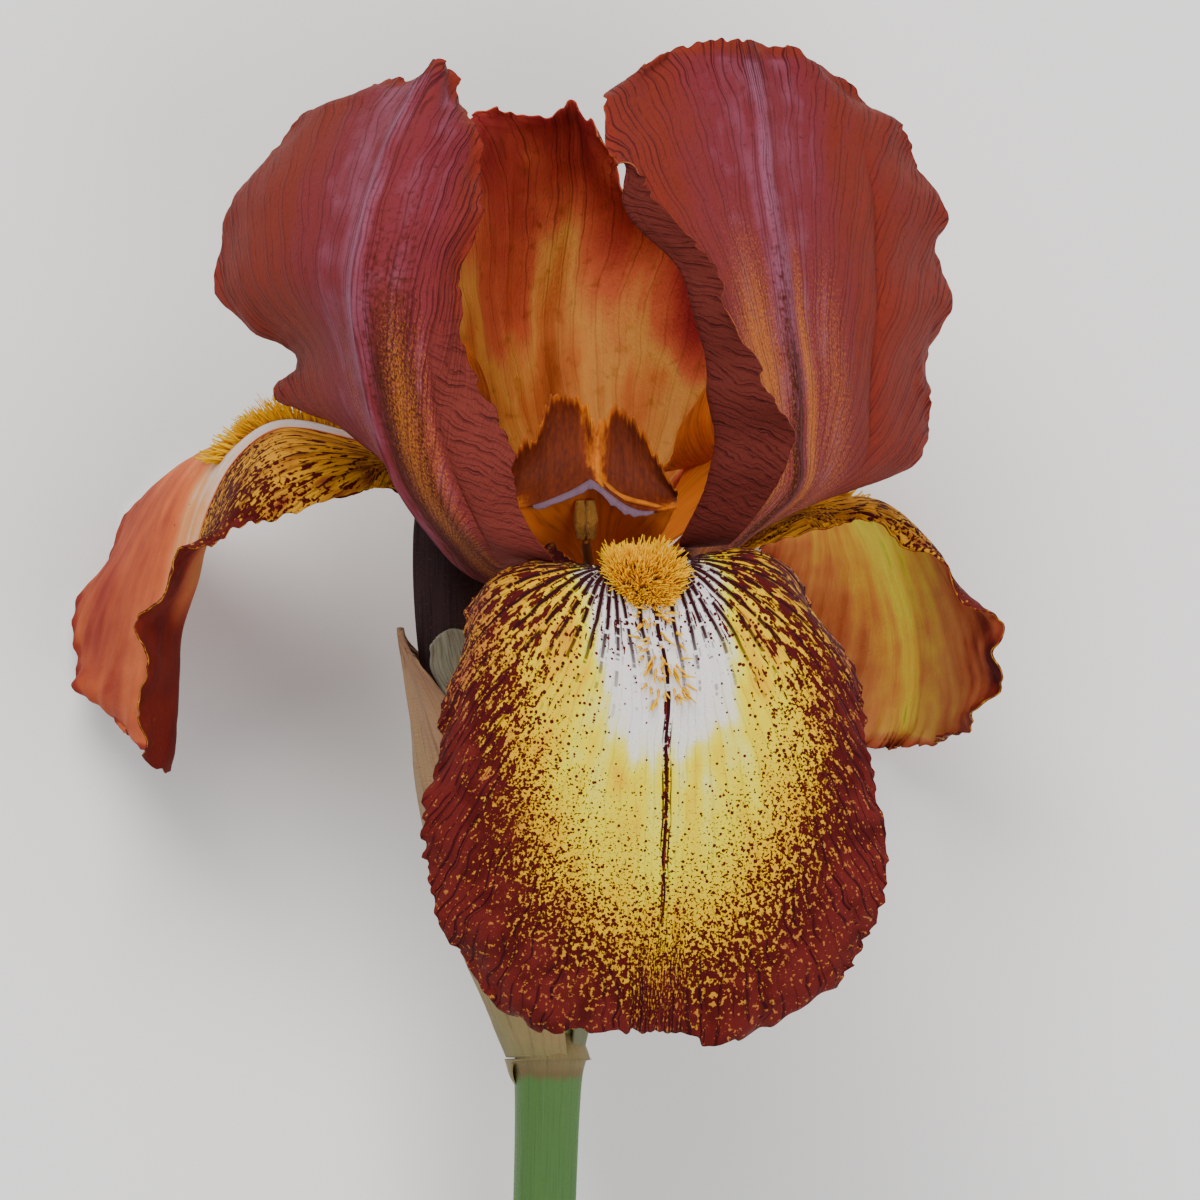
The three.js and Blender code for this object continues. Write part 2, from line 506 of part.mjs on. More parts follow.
// Crest outline across: offset, foot height, top height and forward bulge.
const CREST = [
  [-10.6, 12.2, 15.6, -0.6], [-9.6, 12.8, 18, 0.8], [-7.2, 13.4, 20.8, 1.8], [-4.6, 13.9, 24.7, 2],
  [-2.2, 14.2, 25.4, 1.2], [-0.2, 14.4, 20.2, -0.6], [2.2, 14.2, 23.8, 1], [4.6, 13.8, 22, 1.8],
  [6.8, 13.3, 19.4, 1.6], [8.6, 12.7, 16.4, 0.8], [9.8, 12, 13.8, -0.4],
];
const CREST_RISE = [0, 0.33, 0.67, 1];
const CREST_RADIUS = 18.4;
const CREST_LEAN = 1.2;
const CREST_ROOT = 0.4;

function armPoint(arm, across, height, radius) {
  const angle = radians(arm.azimuth);
  const side = across * arm.breadth;
  const x = radius * Math.sin(angle) + side * Math.cos(angle);
  const z = radius * Math.cos(angle) - side * Math.sin(angle);
  return new THREE.Vector3(x, height + arm.climb * Math.max(radius - CLAW_RADIUS, 0), z);
}

function styleArm(arm) {
  const net = ARM.map(([radius, height, half, droop]) => ACROSS.map(
    (share) => armPoint(arm, share * half, height - arm.droop * droop * share * share, radius),
  ));
  return sheet(net, 6, 9, STYLE_THICKNESS);
}

function styleCrest(arm) {
  const net = CREST_RISE.map((rise) => CREST.map(([across, foot, top, bulge]) => {
    const swell = bulge * Math.sin(Math.PI * (0.25 + 0.6 * rise));
    const radius = CREST_RADIUS + swell - CREST_LEAN * rise * rise;
    const root = foot - CREST_ROOT;
    return armPoint(arm, across, root + (top - root) * rise, radius);
  }));
  return sheet(net, 12, 4, STYLE_THICKNESS);
}

function style() {
  const column = limb(
    [[0, CLAW_BASE_Y - 0.1, 0], [0, -1, 0], [0, 2, 0]],
    [COLUMN_RADIUS, COLUMN_RADIUS, COLUMN_RADIUS], 10, 2,
  );
  let solid = toSolid(column);
  for (const arm of Object.values(STYLE_ARMS)) {
    solid = solid.add(toSolid(styleArm(arm))).add(toSolid(styleCrest(arm)));
  }
  return fromSolid(solid);
}

// One stamen lies under each style arm.
const FILAMENT = [[3.5, -3.6], [5.4, 0.4], [9.2, 3.9], [13.2, 6.4], [15.4, 7.5]];
const ANTHER = [[15.8, 7.9], [17.6, 9.6], [19.4, 11.4]];
const STAMEN_OFFSET = -1.2;
const STAMEN_ASIDE_RADIUS = 11;
const ANTHER_HALF_GAP = 0.55;

function addStamens() {
  for (const [side, arm] of Object.entries(STYLE_ARMS)) {
    const place = (across) => ([radius, height]) => {
      const grown = THREE.MathUtils.smoothstep(radius, FILAMENT[0][0], STAMEN_ASIDE_RADIUS);
      return armPoint(arm, STAMEN_OFFSET * grown + across, height, radius).toArray();
    };
    const filament = limb(FILAMENT.map(place(0)), [0.6, 0.6, 0.6, 0.55, 0.5], 6, 8);
    add(`filament_${side}`, filament, COLOURS.filament, 0.6);
    const [left, right] = [-ANTHER_HALF_GAP, ANTHER_HALF_GAP].map(
      (across) => toSolid(limb(ANTHER.map(place(across)), [0.5, 0.85, 0.5], 6, 4)),
    );
    add(`anther_${side}`, fromSolid(left.add(right)), COLOURS.anther, 0.8);
  }
}

// Stem with a swollen node, the ovary with its tube, and the closed bud beside it.
const STEM_PATH = [
  [-8.6, STEM_END_Y, -9], [-8.2, -120, -8.4], [-7.2, -85, -7.2], [-6.5, -61, -6], [-6.5, STEM_TOP_Y, -6],
];
const OVARY_PATH = [
  [-5, STEM_TOP_Y + SEAT_GAP, -5.6], [-5.4, -45, -5], [-3.6, -30, -3.6], [-1.2, -16, -1.4], [0, -7.5, 0],
  [0, TUBE_TOP_Y, 0],
];
const BUD_PATH = [
  [-9.4, STEM_TOP_Y + SEAT_GAP, -5.6], [-9.6, -54.5, -5.5], [-13, -43, -3], [-16, -25, 0.5],
  [-17.6, -8, 2.8], [-18, 6, 3.6],
  [-18, 14, 3.8], [-17.9, 19.5, 4],
];

function addStemPieces() {
  const stem = limb(
    STEM_PATH,
    [STEM_RADIUS, STEM_RADIUS, STEM_RADIUS, STEM_RADIUS + 0.3, NODE_RADIUS], 16, 16,
  );
  add('stem', restOnFloor(stem), COLOURS.stem, 0.5);
  add('ovary_tube', limb(OVARY_PATH, [1.7, 3.7, 3.4, 2.9, 3.6, 6], 12, 15), COLOURS.ovary, 0.5);
  add('bud', limb(BUD_PATH, [1.4, 1.7, 2.6, 3.8, 4.9, 5.2, 4.1, 0.5], 12, 21), COLOURS.bud, 0.6);
}

// Spathe valves round ovary and bud: per station the centre, the half widths to the side
// and towards the face, and the span from one margin to the other, in degrees from +X.
const BRACT_OUTER = [
  [[-6.6, STEM_TOP_Y + SEAT_GAP, -6], [5, 5], [60, 300]],
  [[-8, -50, -5], [6.6, 6], [62, 298]],
  [[-10, -38, -3.4], [9.4, 7.4], [70, 290]],
  [[-13.4, -24, -0.6], [9.4, 7.4], [86, 280]],
  [[-16.6, -11, 2], [7.4, 7], [106, 262]],
  [[-18, -3.4, 3], [6.9, 6.8], [168, 196]],
];
const BRACT_INNER = [
  [[-6.6, STEM_TOP_Y + SEAT_GAP, -6], [4.3, 4], [-46, 46]],
  [[-7.4, -50, -5.2], [6.6, 5.2], [-44, 50]],
  [[-9, -38, -3.6], [10.6, 6.9], [-22, 60]],
  [[-12.4, -24, -0.8], [12.4, 7.6], [28, 80]],
  [[-16, -11, 2], [7, 6.4], [44, 100]],
  [[-17.8, -3.6, 3.2], [6.4, 6.3], [70, 90]],
];

function bract(stations, thickness) {
  const net = stations.map(([centre, halves, span]) => ACROSS.map((share) => {
    const angle = radians((span[0] + span[1]) / 2 + (span[1] - span[0]) * share / 2);
    const offset = new THREE.Vector3(halves[0] * Math.cos(angle), 0, halves[1] * Math.sin(angle));
    return vector(centre).add(offset);
  }));
  return sheet(net, 10, 11, thickness);
}

addPetals();
for (const side of ['front', 'left', 'right']) {
  add(`beard_${side}`, beard(`fall_${side}`), COLOURS.beard, 0.9);
}
add('style', style(), COLOURS.style, 0.6);
addStamens();
addStemPieces();
add('bract_outer', bract(BRACT_OUTER, 0.7), COLOURS.bract, 0.9);
add('bract_inner', bract(BRACT_INNER, 0.6), COLOURS.bract_thin, 0.8);

export default flower;
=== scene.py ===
"""A bearded iris bloom, cut with its stem and lying face up on a pale floor.

Lengths are millimetres in the flower's own frame: X to the right, Y along the stem
towards the standards, Z out of the face, with the origin where the claws meet. The
last step of each piece turns them into metres in the row's frame.
"""

import math

import bpy
import numpy as np
from mathutils import Matrix, Vector


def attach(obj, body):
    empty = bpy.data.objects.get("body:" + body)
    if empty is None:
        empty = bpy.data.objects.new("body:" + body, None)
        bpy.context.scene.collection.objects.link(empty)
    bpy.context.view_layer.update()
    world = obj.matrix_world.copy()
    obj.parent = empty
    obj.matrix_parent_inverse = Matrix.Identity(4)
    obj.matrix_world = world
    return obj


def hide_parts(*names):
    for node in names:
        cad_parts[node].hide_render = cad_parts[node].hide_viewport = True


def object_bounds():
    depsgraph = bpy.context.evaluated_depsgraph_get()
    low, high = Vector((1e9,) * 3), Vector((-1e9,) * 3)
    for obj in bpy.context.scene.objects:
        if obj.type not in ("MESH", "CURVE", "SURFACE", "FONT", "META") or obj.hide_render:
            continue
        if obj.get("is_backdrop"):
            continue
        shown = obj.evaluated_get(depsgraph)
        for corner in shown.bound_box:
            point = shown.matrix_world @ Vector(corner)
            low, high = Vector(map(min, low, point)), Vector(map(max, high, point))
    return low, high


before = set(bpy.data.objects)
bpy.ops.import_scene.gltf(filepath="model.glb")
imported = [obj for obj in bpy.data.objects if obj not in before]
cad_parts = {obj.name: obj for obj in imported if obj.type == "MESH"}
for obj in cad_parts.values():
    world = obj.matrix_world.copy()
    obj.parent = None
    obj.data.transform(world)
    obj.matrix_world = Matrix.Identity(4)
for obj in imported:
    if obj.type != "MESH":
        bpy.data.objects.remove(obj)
cad_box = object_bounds()

MM = 0.001
rng = np.random.default_rng(7)

# ---------------------------------------------------------------- placing

# How the flower lies: the stem's slope and roll in degrees, and where its origin goes.
LEAN = 12.57
ROLL = -1.23
ROW_ORIGIN = (7.89, 41.68, 46.24)

turn = Matrix.Rotation(math.radians(LEAN), 3, "X") @ Matrix.Rotation(math.radians(ROLL), 3, "Y")
TURN = np.array(turn)


def to_row(points):
    """Flower millimetres to row metres."""
    return (np.asarray(points) @ TURN.T + np.array(ROW_ORIGIN)) * MM


# ---------------------------------------------------------------- camera

VIEW_DISTANCE = 2500
VIEW_WIDTH = 150


def add_camera():
    """A far camera that faces the bloom square on."""
    data = bpy.data.cameras.new("camera")
    data.sensor_fit = "HORIZONTAL"
    data.angle = 2 * math.atan(VIEW_WIDTH / 2 / VIEW_DISTANCE)
    data.clip_start = 0.05
    data.clip_end = 20
    camera = bpy.data.objects.new("camera", data)
    place = turn.to_4x4()
    place.translation = Vector(to_row((0, 0, VIEW_DISTANCE)))
    camera.matrix_world = place
    bpy.context.collection.objects.link(camera)
    bpy.context.scene.camera = camera


add_camera()

# ---------------------------------------------------------------- mesh helpers


def make_object(name, points, faces, node, slot, material):
    """A mesh object in the row's frame that stands for a node of the part."""
    mesh = bpy.data.meshes.new(name)
    placed = to_row(points)
    placed[:, 2] = np.maximum(placed[:, 2], 0)
    mesh.from_pydata(placed.tolist(), [], faces)
    mesh.update()
    mesh.polygons.foreach_set("use_smooth", [True] * len(mesh.polygons))
    mesh.materials.append(material)
    piece = bpy.data.objects.new(name, mesh)
    bpy.context.collection.objects.link(piece)
    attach(piece, "root")
    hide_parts(node)
    return piece


def set_vector(piece, name, values):
    """Three numbers for each point of a piece, for its material to read."""
    data = piece.data.attributes.new(name, "FLOAT_VECTOR", "POINT")
    data.data.foreach_set("vector", np.asarray(values, dtype=np.float32).ravel())


def curve_weights(count, shares):
    """Weights of the control points on a smooth curve, one row per share from 0 to 1."""
    last = count - 1
    s = np.clip(np.asarray(shares, dtype=float), 0, 1) * last
    i = np.clip(np.floor(s).astype(int), 0, last - 1)
    t = s - i
    parts = [
        ((2 - t) * t - 1) * t / 2,
        ((3 * t - 5) * t * t + 2) / 2,
        ((4 - 3 * t) * t + 1) * t / 2,
        (t - 1) * t * t / 2,
    ]
    wide = np.zeros((len(s), count + 2))
    rows = np.arange(len(s))
    for k, part in enumerate(parts):
        wide[rows, i + k] += part
    weights = wide[:, 1:-1].copy()
    weights[:, 0] += 2 * wide[:, 0]
    weights[:, 1] -= wide[:, 0]
    weights[:, -1] += 2 * wide[:, -1]
    weights[:, -2] -= wide[:, -1]
    return weights


def curve(points, shares):
    """Points of the smooth curve through control points."""
    points = np.asarray(points, dtype=float)
    return curve_weights(len(points), shares) @ points


def surface(net, us, vs):
    """Points of the smooth sheet over a net, as an array of rows along and columns across."""
    net = np.asarray(net, dtype=float)
    across = curve_weights(net.shape[1], us)
    along = curve_weights(net.shape[0], vs)
    return np.einsum("vr,rck,uc->vuk", along, net, across)


def grid_surface(net, cells):
    """The sheet over a net in even cells, with each point's shares across and along."""
    us, vs = (np.linspace(0, 1, count + 1) for count in cells)
    return surface(net, us, vs), *np.meshgrid(us, vs)


def unit(vectors):
    return vectors / np.maximum(np.linalg.norm(vectors, axis=-1, keepdims=True), 1e-9)


def grid_normals(points):
    """Normals of a grid of points, right-handed from across to along."""
    across = np.gradient(points, axis=1)
    along = np.gradient(points, axis=0)
    return unit(np.cross(across, along))


def smoothstep(x, low, high):
    """0 below the first limit and 1 past the second, smoothly between; limits may fall."""
    t = np.clip((np.asarray(x, dtype=float) - low) / (high - low), 0, 1)
    return t * t * (3 - 2 * t)


def band(x, centre, half):
    """1 at the centre, falling off smoothly either side."""
    return np.exp(-((x - centre) / half) ** 2)


def stack(*parts):
    """Maps of one number side by side, as one map of several."""
    parts = [np.asarray(part, dtype=float) for part in parts]
    return np.stack(np.broadcast_arrays(*parts), axis=-1)


def shell(middle, normals, thickness):
    """Both faces of a thin sheet with its rim: points and faces."""
    rows, columns, _ = middle.shape
    half = rows * columns
    lift = normals * (np.asarray(thickness)[..., None] / 2)
    points = np.concatenate([(middle + lift).reshape(-1, 3), (middle - lift).reshape(-1, 3)])
    j, i = np.meshgrid(np.arange(rows - 1), np.arange(columns - 1), indexing="ij")
    a = (j * columns + i).ravel()
    b, c, d = a + 1, a + columns, a + columns + 1
    front = np.stack([a, b, d, c], axis=1)
    back = np.stack([a, c, d, b], axis=1) + half
    rim = np.concatenate([
        np.arange(columns - 1),
        np.arange(rows - 1) * columns + columns - 1,
        (rows - 1) * columns + np.arange(columns - 1, 0, -1),
        np.arange(rows - 1, 0, -1) * columns,
    ])
    after = np.roll(rim, -1)
    edge = np.stack([rim, rim + half, after + half, after], axis=1)
    return points, np.concatenate([front, back, edge]).tolist()


LATTICE = 64


def lattice_noise(x, y, seed):
    """Smooth noise from -1 to 1 over a plane, one bump per unit."""
    x = np.asarray(x, dtype=float)
    y = np.asarray(y, dtype=float)
    table = np.random.default_rng(seed).uniform(-1, 1, (LATTICE, LATTICE))
    i = np.floor(x).astype(int)
    j = np.floor(y).astype(int)
    s = x - i
    t = y - j
    s = s * s * (3 - 2 * s)
    t = t * t * (3 - 2 * t)

    def between(row):
        first = table[i % LATTICE, (j + row) % LATTICE]
        second = table[(i + 1) % LATTICE, (j + row) % LATTICE]
        return first * (1 - s) + second * s

    return between(0) * (1 - t) + between(1) * t


# ---------------------------------------------------------------- petals

# Control nets: one row per station from the claw out to the tip, seven points across.
# Front fall, left margin to right margin.
FALL_FRONT = [
    [(-4.6, 3.4, 12), (-2.6, 2.4, 12), (-0.2, 1.8, 12), (2, 1.6, 12), (4.2, 1.8, 11.6),
     (6.4, 2.6, 11.2), (8.2, 3.8, 11)],
    [(-6.2, 7, 19.5), (-4.2, 5, 20), (-0.8, 3.6, 20.2), (2.6, 3.1, 20.2), (5.4, 3.5, 19.9),
     (7.4, 4.5, 19.4), (8.8, 6.2, 19)],
    [(-9.5, 3.8, 26), (-6.8, 4.2, 28), (-1.6, 4, 28.8), (4, 3.8, 29), (8.8, 4.4, 28.2),
     (12, 4.8, 27), (14, 4.6, 25.5)],
    [(-14.4, 1.8, 27.5), (-10.4, 4.1, 32), (-3.4, 3.9, 35.2), (5.4, 2.8, 35.6), (13, 5, 34),
     (19, 5.9, 30.5), (23.4, 3, 26.5)],
    [(-17, -4, 31.5), (-13.4, -0.6, 37), (-4.6, -0.4, 40), (6.8, -1.6, 39.6), (16.4, 0.6, 38.8),
     (23.6, 1, 35.4), (27.8, -3.4, 30)],
    [(-18.8, -11.6, 35), (-14.2, -8.6, 40), (-4.4, -8.2, 42.6), (8.1, -8.8, 41.4),
     (18.6, -7.6, 41.6), (27.2, -8, 38.6), (32.4, -11, 33.6)],
    [(-20.4, -20.6, 37), (-14.8, -19, 41), (-4.4, -18.6, 43), (8.2, -18.6, 41.6),
     (19.4, -18, 42), (28, -18.4, 39.6), (33.2, -19.8, 35.6)],
    [(-21.7, -30, 36.6), (-15.4, -29, 40), (-4.6, -28.6, 41.6), (8, -28.6, 40.4),
     (19.6, -28.4, 40.8), (29, -28.8, 38.8), (35.4, -30, 35.6)],
    [(-20, -38.6, 34.8), (-14.6, -38.6, 37.6), (-4.4, -38.6, 38.8), (7.6, -38.6, 37.8),
     (18.8, -38.6, 38), (28.2, -38.6, 36.6), (34.2, -38.6, 34)],
    [(-16, -46, 32.4), (-11.8, -47, 34.2), (-3.4, -47.4, 35), (7.2, -47.6, 34.2),
     (17.4, -48, 34.4), (25.4, -47.6, 33.6), (30.6, -45.8, 32)],
    [(-11.6, -51, 30.6), (-7.6, -52.8, 31.2), (-1.4, -53.4, 31.6), (6.8, -53, 31.2),
     (14, -54.8, 31), (20, -53.2, 30.8), (26, -49.6, 30.4)],
]

# Left fall, near margin to far margin: a roof over the haft, then a blade folded inwards.
FALL_LEFT = [
    [(-13.5, 7, -3.6), (-13.8, 7.3, -4.8), (-14, 7.5, -6), (-14.2, 7.6, -7.2),
     (-14.6, 7.4, -8.8), (-15, 7, -10.2), (-15.5, 6.6, -11.5)],
    [(-25, 13.8, -3.5), (-25.4, 15.6, -5), (-25.7, 16.9, -7), (-26, 17.4, -9.5),
     (-26, 16.9, -12), (-26, 15.6, -14.2), (-26, 13.8, -16)],
    [(-33, 12.8, -2.5), (-33, 16.2, -4.2), (-33, 19, -7.5), (-33.2, 20.6, -12),
     (-33.2, 19.2, -16.5), (-33, 16.4, -20), (-33, 13, -22.4)],
    [(-40.5, 10.3, -2), (-40.4, 14.6, -3.8), (-40.3, 18.8, -8), (-40.5, 21.6, -14.5),
     (-41.2, 20.6, -21.5), (-42.4, 17.6, -27.5), (-43.5, 14, -31.5)],
    [(-46.2, 8.6, -1), (-46, 11.6, -4.5), (-45.6, 15, -9.5), (-46, 17.8, -16),
     (-48.5, 19.2, -23.5), (-51.5, 17.8, -33), (-54, 14.4, -42)],
    [(-51.2, 6.6, 0), (-49.6, 7.2, -5), (-49, 8.8, -10), (-49.8, 10.8, -15.5), (-54, 13, -24.5),
     (-58, 12, -36.8), (-60.8, 8.4, -47.6)],
    [(-54.6, 2, 0.5), (-52.4, 2, -5), (-50.6, 2.6, -9.5), (-51.6, 3.6, -14.5), (-56.6, 5.5, -24),
     (-61.2, 5, -35.6), (-64.6, 2, -45.6)],
    [(-57, -3, 0), (-54.8, -3.4, -4.5), (-52.6, -4, -9), (-53.4, -3.6, -14), (-58, -2.5, -23.5),
     (-63, -3, -33.2), (-66.8, -4.5, -41.4)],
    [(-57.2, -9.5, -1), (-55, -10.5, -4.5), (-53, -11.5, -8.5), (-54, -11.5, -13),
     (-57.8, -10.5, -21.5), (-62.5, -10.5, -29.5), (-66.4, -10.5, -36)],
    [(-57.4, -15.5, -2.5), (-55.6, -17, -5), (-53.4, -18, -8.5), (-54.4, -18, -12),
     (-57.2, -16.8, -18.5), (-60.2, -15.8, -25), (-62.8, -14.2, -30.5)],
    [(-57.2, -19.5, -4.5), (-55.6, -21.2, -6), (-53.8, -21.8, -8.5), (-54.6, -21, -11),
     (-56, -19.6, -15), (-57.6, -18.2, -19), (-59.2, -16.8, -23)],
]

# Right fall, near margin to far margin: it arches away and hangs, underside showing.
FALL_RIGHT = [
    [(13, 4.2, -6.8), (12.6, 4.8, -7.8), (12.1, 5.1, -8.8), (11.5, 5.2, -9.8),
     (10.9, 5.1, -10.8), (10.3, 4.8, -11.7), (9.7, 4.2, -12.6)],
    [(23.5, 7.8, -11), (22.6, 9, -13), (21.4, 9.8, -15), (20, 10.2, -17), (18.6, 9.8, -19),
     (17.2, 9, -21), (15.8, 7.8, -23)],
    [(31.5, 9.8, -13), (30.5, 11.4, -16.5), (29, 12.4, -19.5), (27, 12.8, -22.5),
     (24.6, 12.3, -26.5), (22, 10.9, -30.5), (19.5, 8.6, -34)],
    [(37.5, 8, -12.5), (37, 10.8, -16.5), (35.4, 12.2, -21), (32.3, 12, -27), (28.6, 11.2, -33),
     (24.5, 9.2, -38), (20.4, 6.4, -42)],
    [(42.6, 3.8, -11), (41.6, 6.6, -16.5), (39.4, 8, -23), (35.6, 7.6, -30), (31, 6.6, -37),
     (26, 5, -42.4), (21, 2.8, -46)],
    [(47.2, -0.6, -8.5), (45, 1.6, -15.5), (42, 2.2, -23.5), (37.8, 1.6, -31.5),
     (32.4, 0.8, -38.8), (26.6, -0.4, -43.6), (20.8, -1.8, -46.4)],
    [(50.4, -5.2, -7), (47.4, -4.2, -15), (43.8, -4, -23.5), (39.2, -4.4, -33),
     (33.4, -5.2, -39.6), (27, -6, -43.6), (20.8, -6.8, -45.4)],
    [(49.6, -10.6, -9), (47.2, -10.2, -18), (43.8, -10.4, -27), (39.4, -10.8, -35.6),
     (33.8, -11.4, -40.4), (27.8, -11.8, -43), (22.2, -12, -44)],
    [(47.6, -14.6, -14.5), (45.6, -15.2, -22.5), (42.6, -15.8, -31), (38.6, -16.4, -38),
     (33.8, -16.8, -41.4), (29, -16.6, -42.6), (24.8, -15.8, -42.8)],
    [(44.6, -16.8, -23), (42.8, -17.6, -28.5), (40.4, -18.4, -34.5), (37, -18.8, -39.4),
     (33.6, -19, -41.4), (30.4, -18.6, -41.8), (27.4, -17.6, -41.6)],
]

# Left standard, rear margin over the keel to the flared front margin.
STANDARD_LEFT = [
    [(-9.4, 4.4, 6.6), (-11, 3.4, 7.6), (-12.8, 2.6, 9), (-14, 2.4, 11.8), (-12.8, 2.8, 15.4),
     (-10.6, 4, 18.8), (-8.4, 6.4, 20.8)],
    [(-15.2, 9.8, 11.6), (-17, 8.8, 12.6), (-18.5, 7.8, 14), (-18.9, 7.2, 16.5),
     (-16.8, 6.6, 20.5), (-13.2, 6, 25), (-5.8, 4.9, 27.4)],
    [(-31, 20.6, 8), (-28.8, 19.2, 11.5), (-26.4, 17, 16), (-24.2, 14.5, 20.8), (-21, 13, 24.5),
     (-15.9, 11, 26.5), (-10, 11.2, 27.6)],
    [(-39.8, 25.4, 1), (-35.5, 24.3, 9), (-31.5, 23.8, 17), (-27.2, 22.5, 23.8), (-23.8, 21, 27),
     (-18.7, 19.5, 26.5), (-11.2, 19.4, 26.5)],
    [(-38.8, 30.5, 2), (-36.5, 31.5, 9), (-33.3, 32, 17.5), (-29.2, 32, 25.5), (-25.5, 31.5, 28),
     (-20.5, 30.5, 26.5), (-17.2, 32, 24)],
    [(-47.8, 38.8, -1.5), (-43, 40, 8), (-37, 40.5, 17.5), (-29.7, 40, 26), (-26, 40, 28),
     (-21, 40, 26.5), (-16.8, 40.5, 23.5)],
    [(-46.6, 47.5, -2), (-42.5, 48.5, 7), (-36.5, 48.5, 16), (-28.2, 47.5, 24.8),
     (-24.5, 48, 26.5), (-19.6, 48.5, 24.5), (-14.8, 48.5, 21)],
    [(-41.5, 56, -1), (-38, 57, 6), (-33, 56.5, 13.5), (-25.6, 56, 21.5), (-22.5, 56.3, 23),
     (-18.7, 56.5, 21), (-15, 56, 18)],
    [(-35, 60.8, 2), (-32.3, 62, 6.5), (-28.5, 62, 11.5), (-22.6, 62, 17.5), (-20.6, 62.2, 18.6),
     (-18.8, 62, 17), (-17.2, 61.5, 15)],
    [(-28.5, 64, 5), (-26.5, 64.4, 8), (-24, 65, 11), (-20.4, 66.5, 14.5), (-19.6, 66.6, 14.8),
     (-18.8, 66.3, 14.2), (-18.2, 65.5, 13.4)],
]

# Right standard, rolled-out front margin over the fold and the midrib to the rear margin.
STANDARD_RIGHT = [
    [(13.4, 7.2, 18.6), (11, 6.8, 17.4), (11.6, 4.8, 13), (13, 3.6, 7), (14, 4.2, 3.4),
     (13.8, 5.4, 1), (13, 7.2, -0.6)],
    [(16.4, 7.2, 26), (10.2, 7.2, 23.5), (13.5, 8, 18), (17.5, 7.8, 11), (19.2, 8.4, 5.4),
     (19.8, 9.6, 2), (19, 11.4, -0.8)],
    [(22, 14.5, 30.5), (13.6, 14.5, 28.5), (17, 14, 24), (23.7, 13.8, 15), (27.5, 13.8, 8),
     (31, 14, 1.5), (34.8, 15, -5)],
    [(23.7, 20.5, 32.5), (14.4, 20.5, 30), (18, 20, 25.5), (24.2, 20, 16.5), (30.5, 19.5, 8.5),
     (36.5, 19, -0.5), (41.6, 20.5, -9)],
    [(20.2, 27, 32.5), (13.4, 27, 30.5), (17.3, 27, 26), (24, 27, 17), (31, 26.5, 8.5),
     (36.5, 26, -1.5), (40.6, 26.5, -11)],
    [(16.9, 33.5, 32), (12.4, 33.5, 30.5), (15.8, 34, 26.5), (22.9, 34, 17), (31, 34, 7.5),
     (38, 34, -3), (43, 34, -13.5)],
    [(13.5, 41.5, 31.5), (9.6, 41, 30), (13.2, 41.5, 26.5), (22.1, 41.5, 16), (31, 42, 5.5),
     (38, 42, -5), (43, 42, -15)],
    [(7, 49.3, 29.5), (3.2, 48.7, 28.5), (8.6, 49.5, 25.5), (20.8, 50, 14), (30.5, 50, 3.5),
     (37.5, 50, -6), (42.6, 50, -14.5)],
    [(2.4, 55.5, 27.5), (3.6, 56, 25.5), (8.5, 56.8, 21.5), (20, 57.5, 11), (28.8, 57.5, 2),
     (35, 57.2, -5), (39, 57, -12)],
    [(0.3, 61.8, 22.5), (3.6, 62.8, 20), (8.8, 63.6, 16), (19.3, 64.2, 8), (26.5, 63.5, 1),
     (31.5, 62.5, -4), (35, 61.5, -9)],
    [(5, 66, 17.5), (7.5, 67.5, 15.5), (11, 69, 12.5), (18.2, 69.8, 7), (22.5, 69, 2.5),
     (26, 67, -1.5), (29.5, 65.2, -5)],
]

# Back standard, left margin to right margin, hollow towards the face.
STANDARD_BACK = [
    [(-5, 6.6, -10.4), (-4.1, 5.8, -11.8), (-3, 5.2, -12.9), (-1.8, 5, -13.4),
     (-0.4, 5.2, -13.3), (0.9, 5.8, -12.6), (2, 6.6, -11.4)],
    [(-8.8, 13.8, -17.4), (-7, 13, -19), (-5, 12.6, -20.4), (-2.6, 12.5, -21.2),
     (0.6, 12.6, -21.4), (4.6, 12.9, -21), (9, 13.4, -20)],
    [(-14.2, 20.6, -19), (-11.4, 20.2, -21.6), (-8, 19.8, -24.2), (-3.8, 19.8, -26),
     (2, 20, -26.2), (8, 20.3, -24.8), (14.4, 20.8, -22.4)],
    [(-19, 28.6, -14.6), (-15.4, 28.4, -19.4), (-10.8, 28.2, -25.4), (-4.8, 28, -29),
     (3, 28.2, -29.2), (10.4, 28.8, -26.4), (17.6, 29.4, -22.4)],
    [(-20, 38, -8.5), (-16.5, 37.5, -18), (-11.5, 37, -27), (-5.4, 36.5, -31), (3, 37, -29.5),
     (12, 37.5, -24), (19, 38, -18)],
    [(-19.5, 45.5, -9), (-16, 45.5, -17.5), (-11, 45, -26), (-4.2, 44.5, -30), (3, 45, -28.5),
     (9.5, 45, -24), (14, 45, -20)],
    [(-18.5, 52.5, -9.5), (-15, 52.5, -16), (-10.5, 52, -23), (-3.5, 51.5, -27),
     (0.5, 51.5, -25), (3, 51, -22.5), (5.5, 50, -20)],
    [(-17, 58.8, -11), (-14, 59, -14.5), (-10, 58.5, -18.5), (-4, 58, -21.5), (-1.8, 57.5, -21),
     (-0.2, 56.5, -20), (1.2, 55, -18.5)],
    [(-15.2, 61.5, -13), (-12.5, 61.8, -14.5), (-9, 60.8, -16.3), (-4.5, 62, -17.5),
     (-2.8, 62.2, -17.6), (-1.2, 60.8, -17.5), (0.2, 58.8, -17)],
]

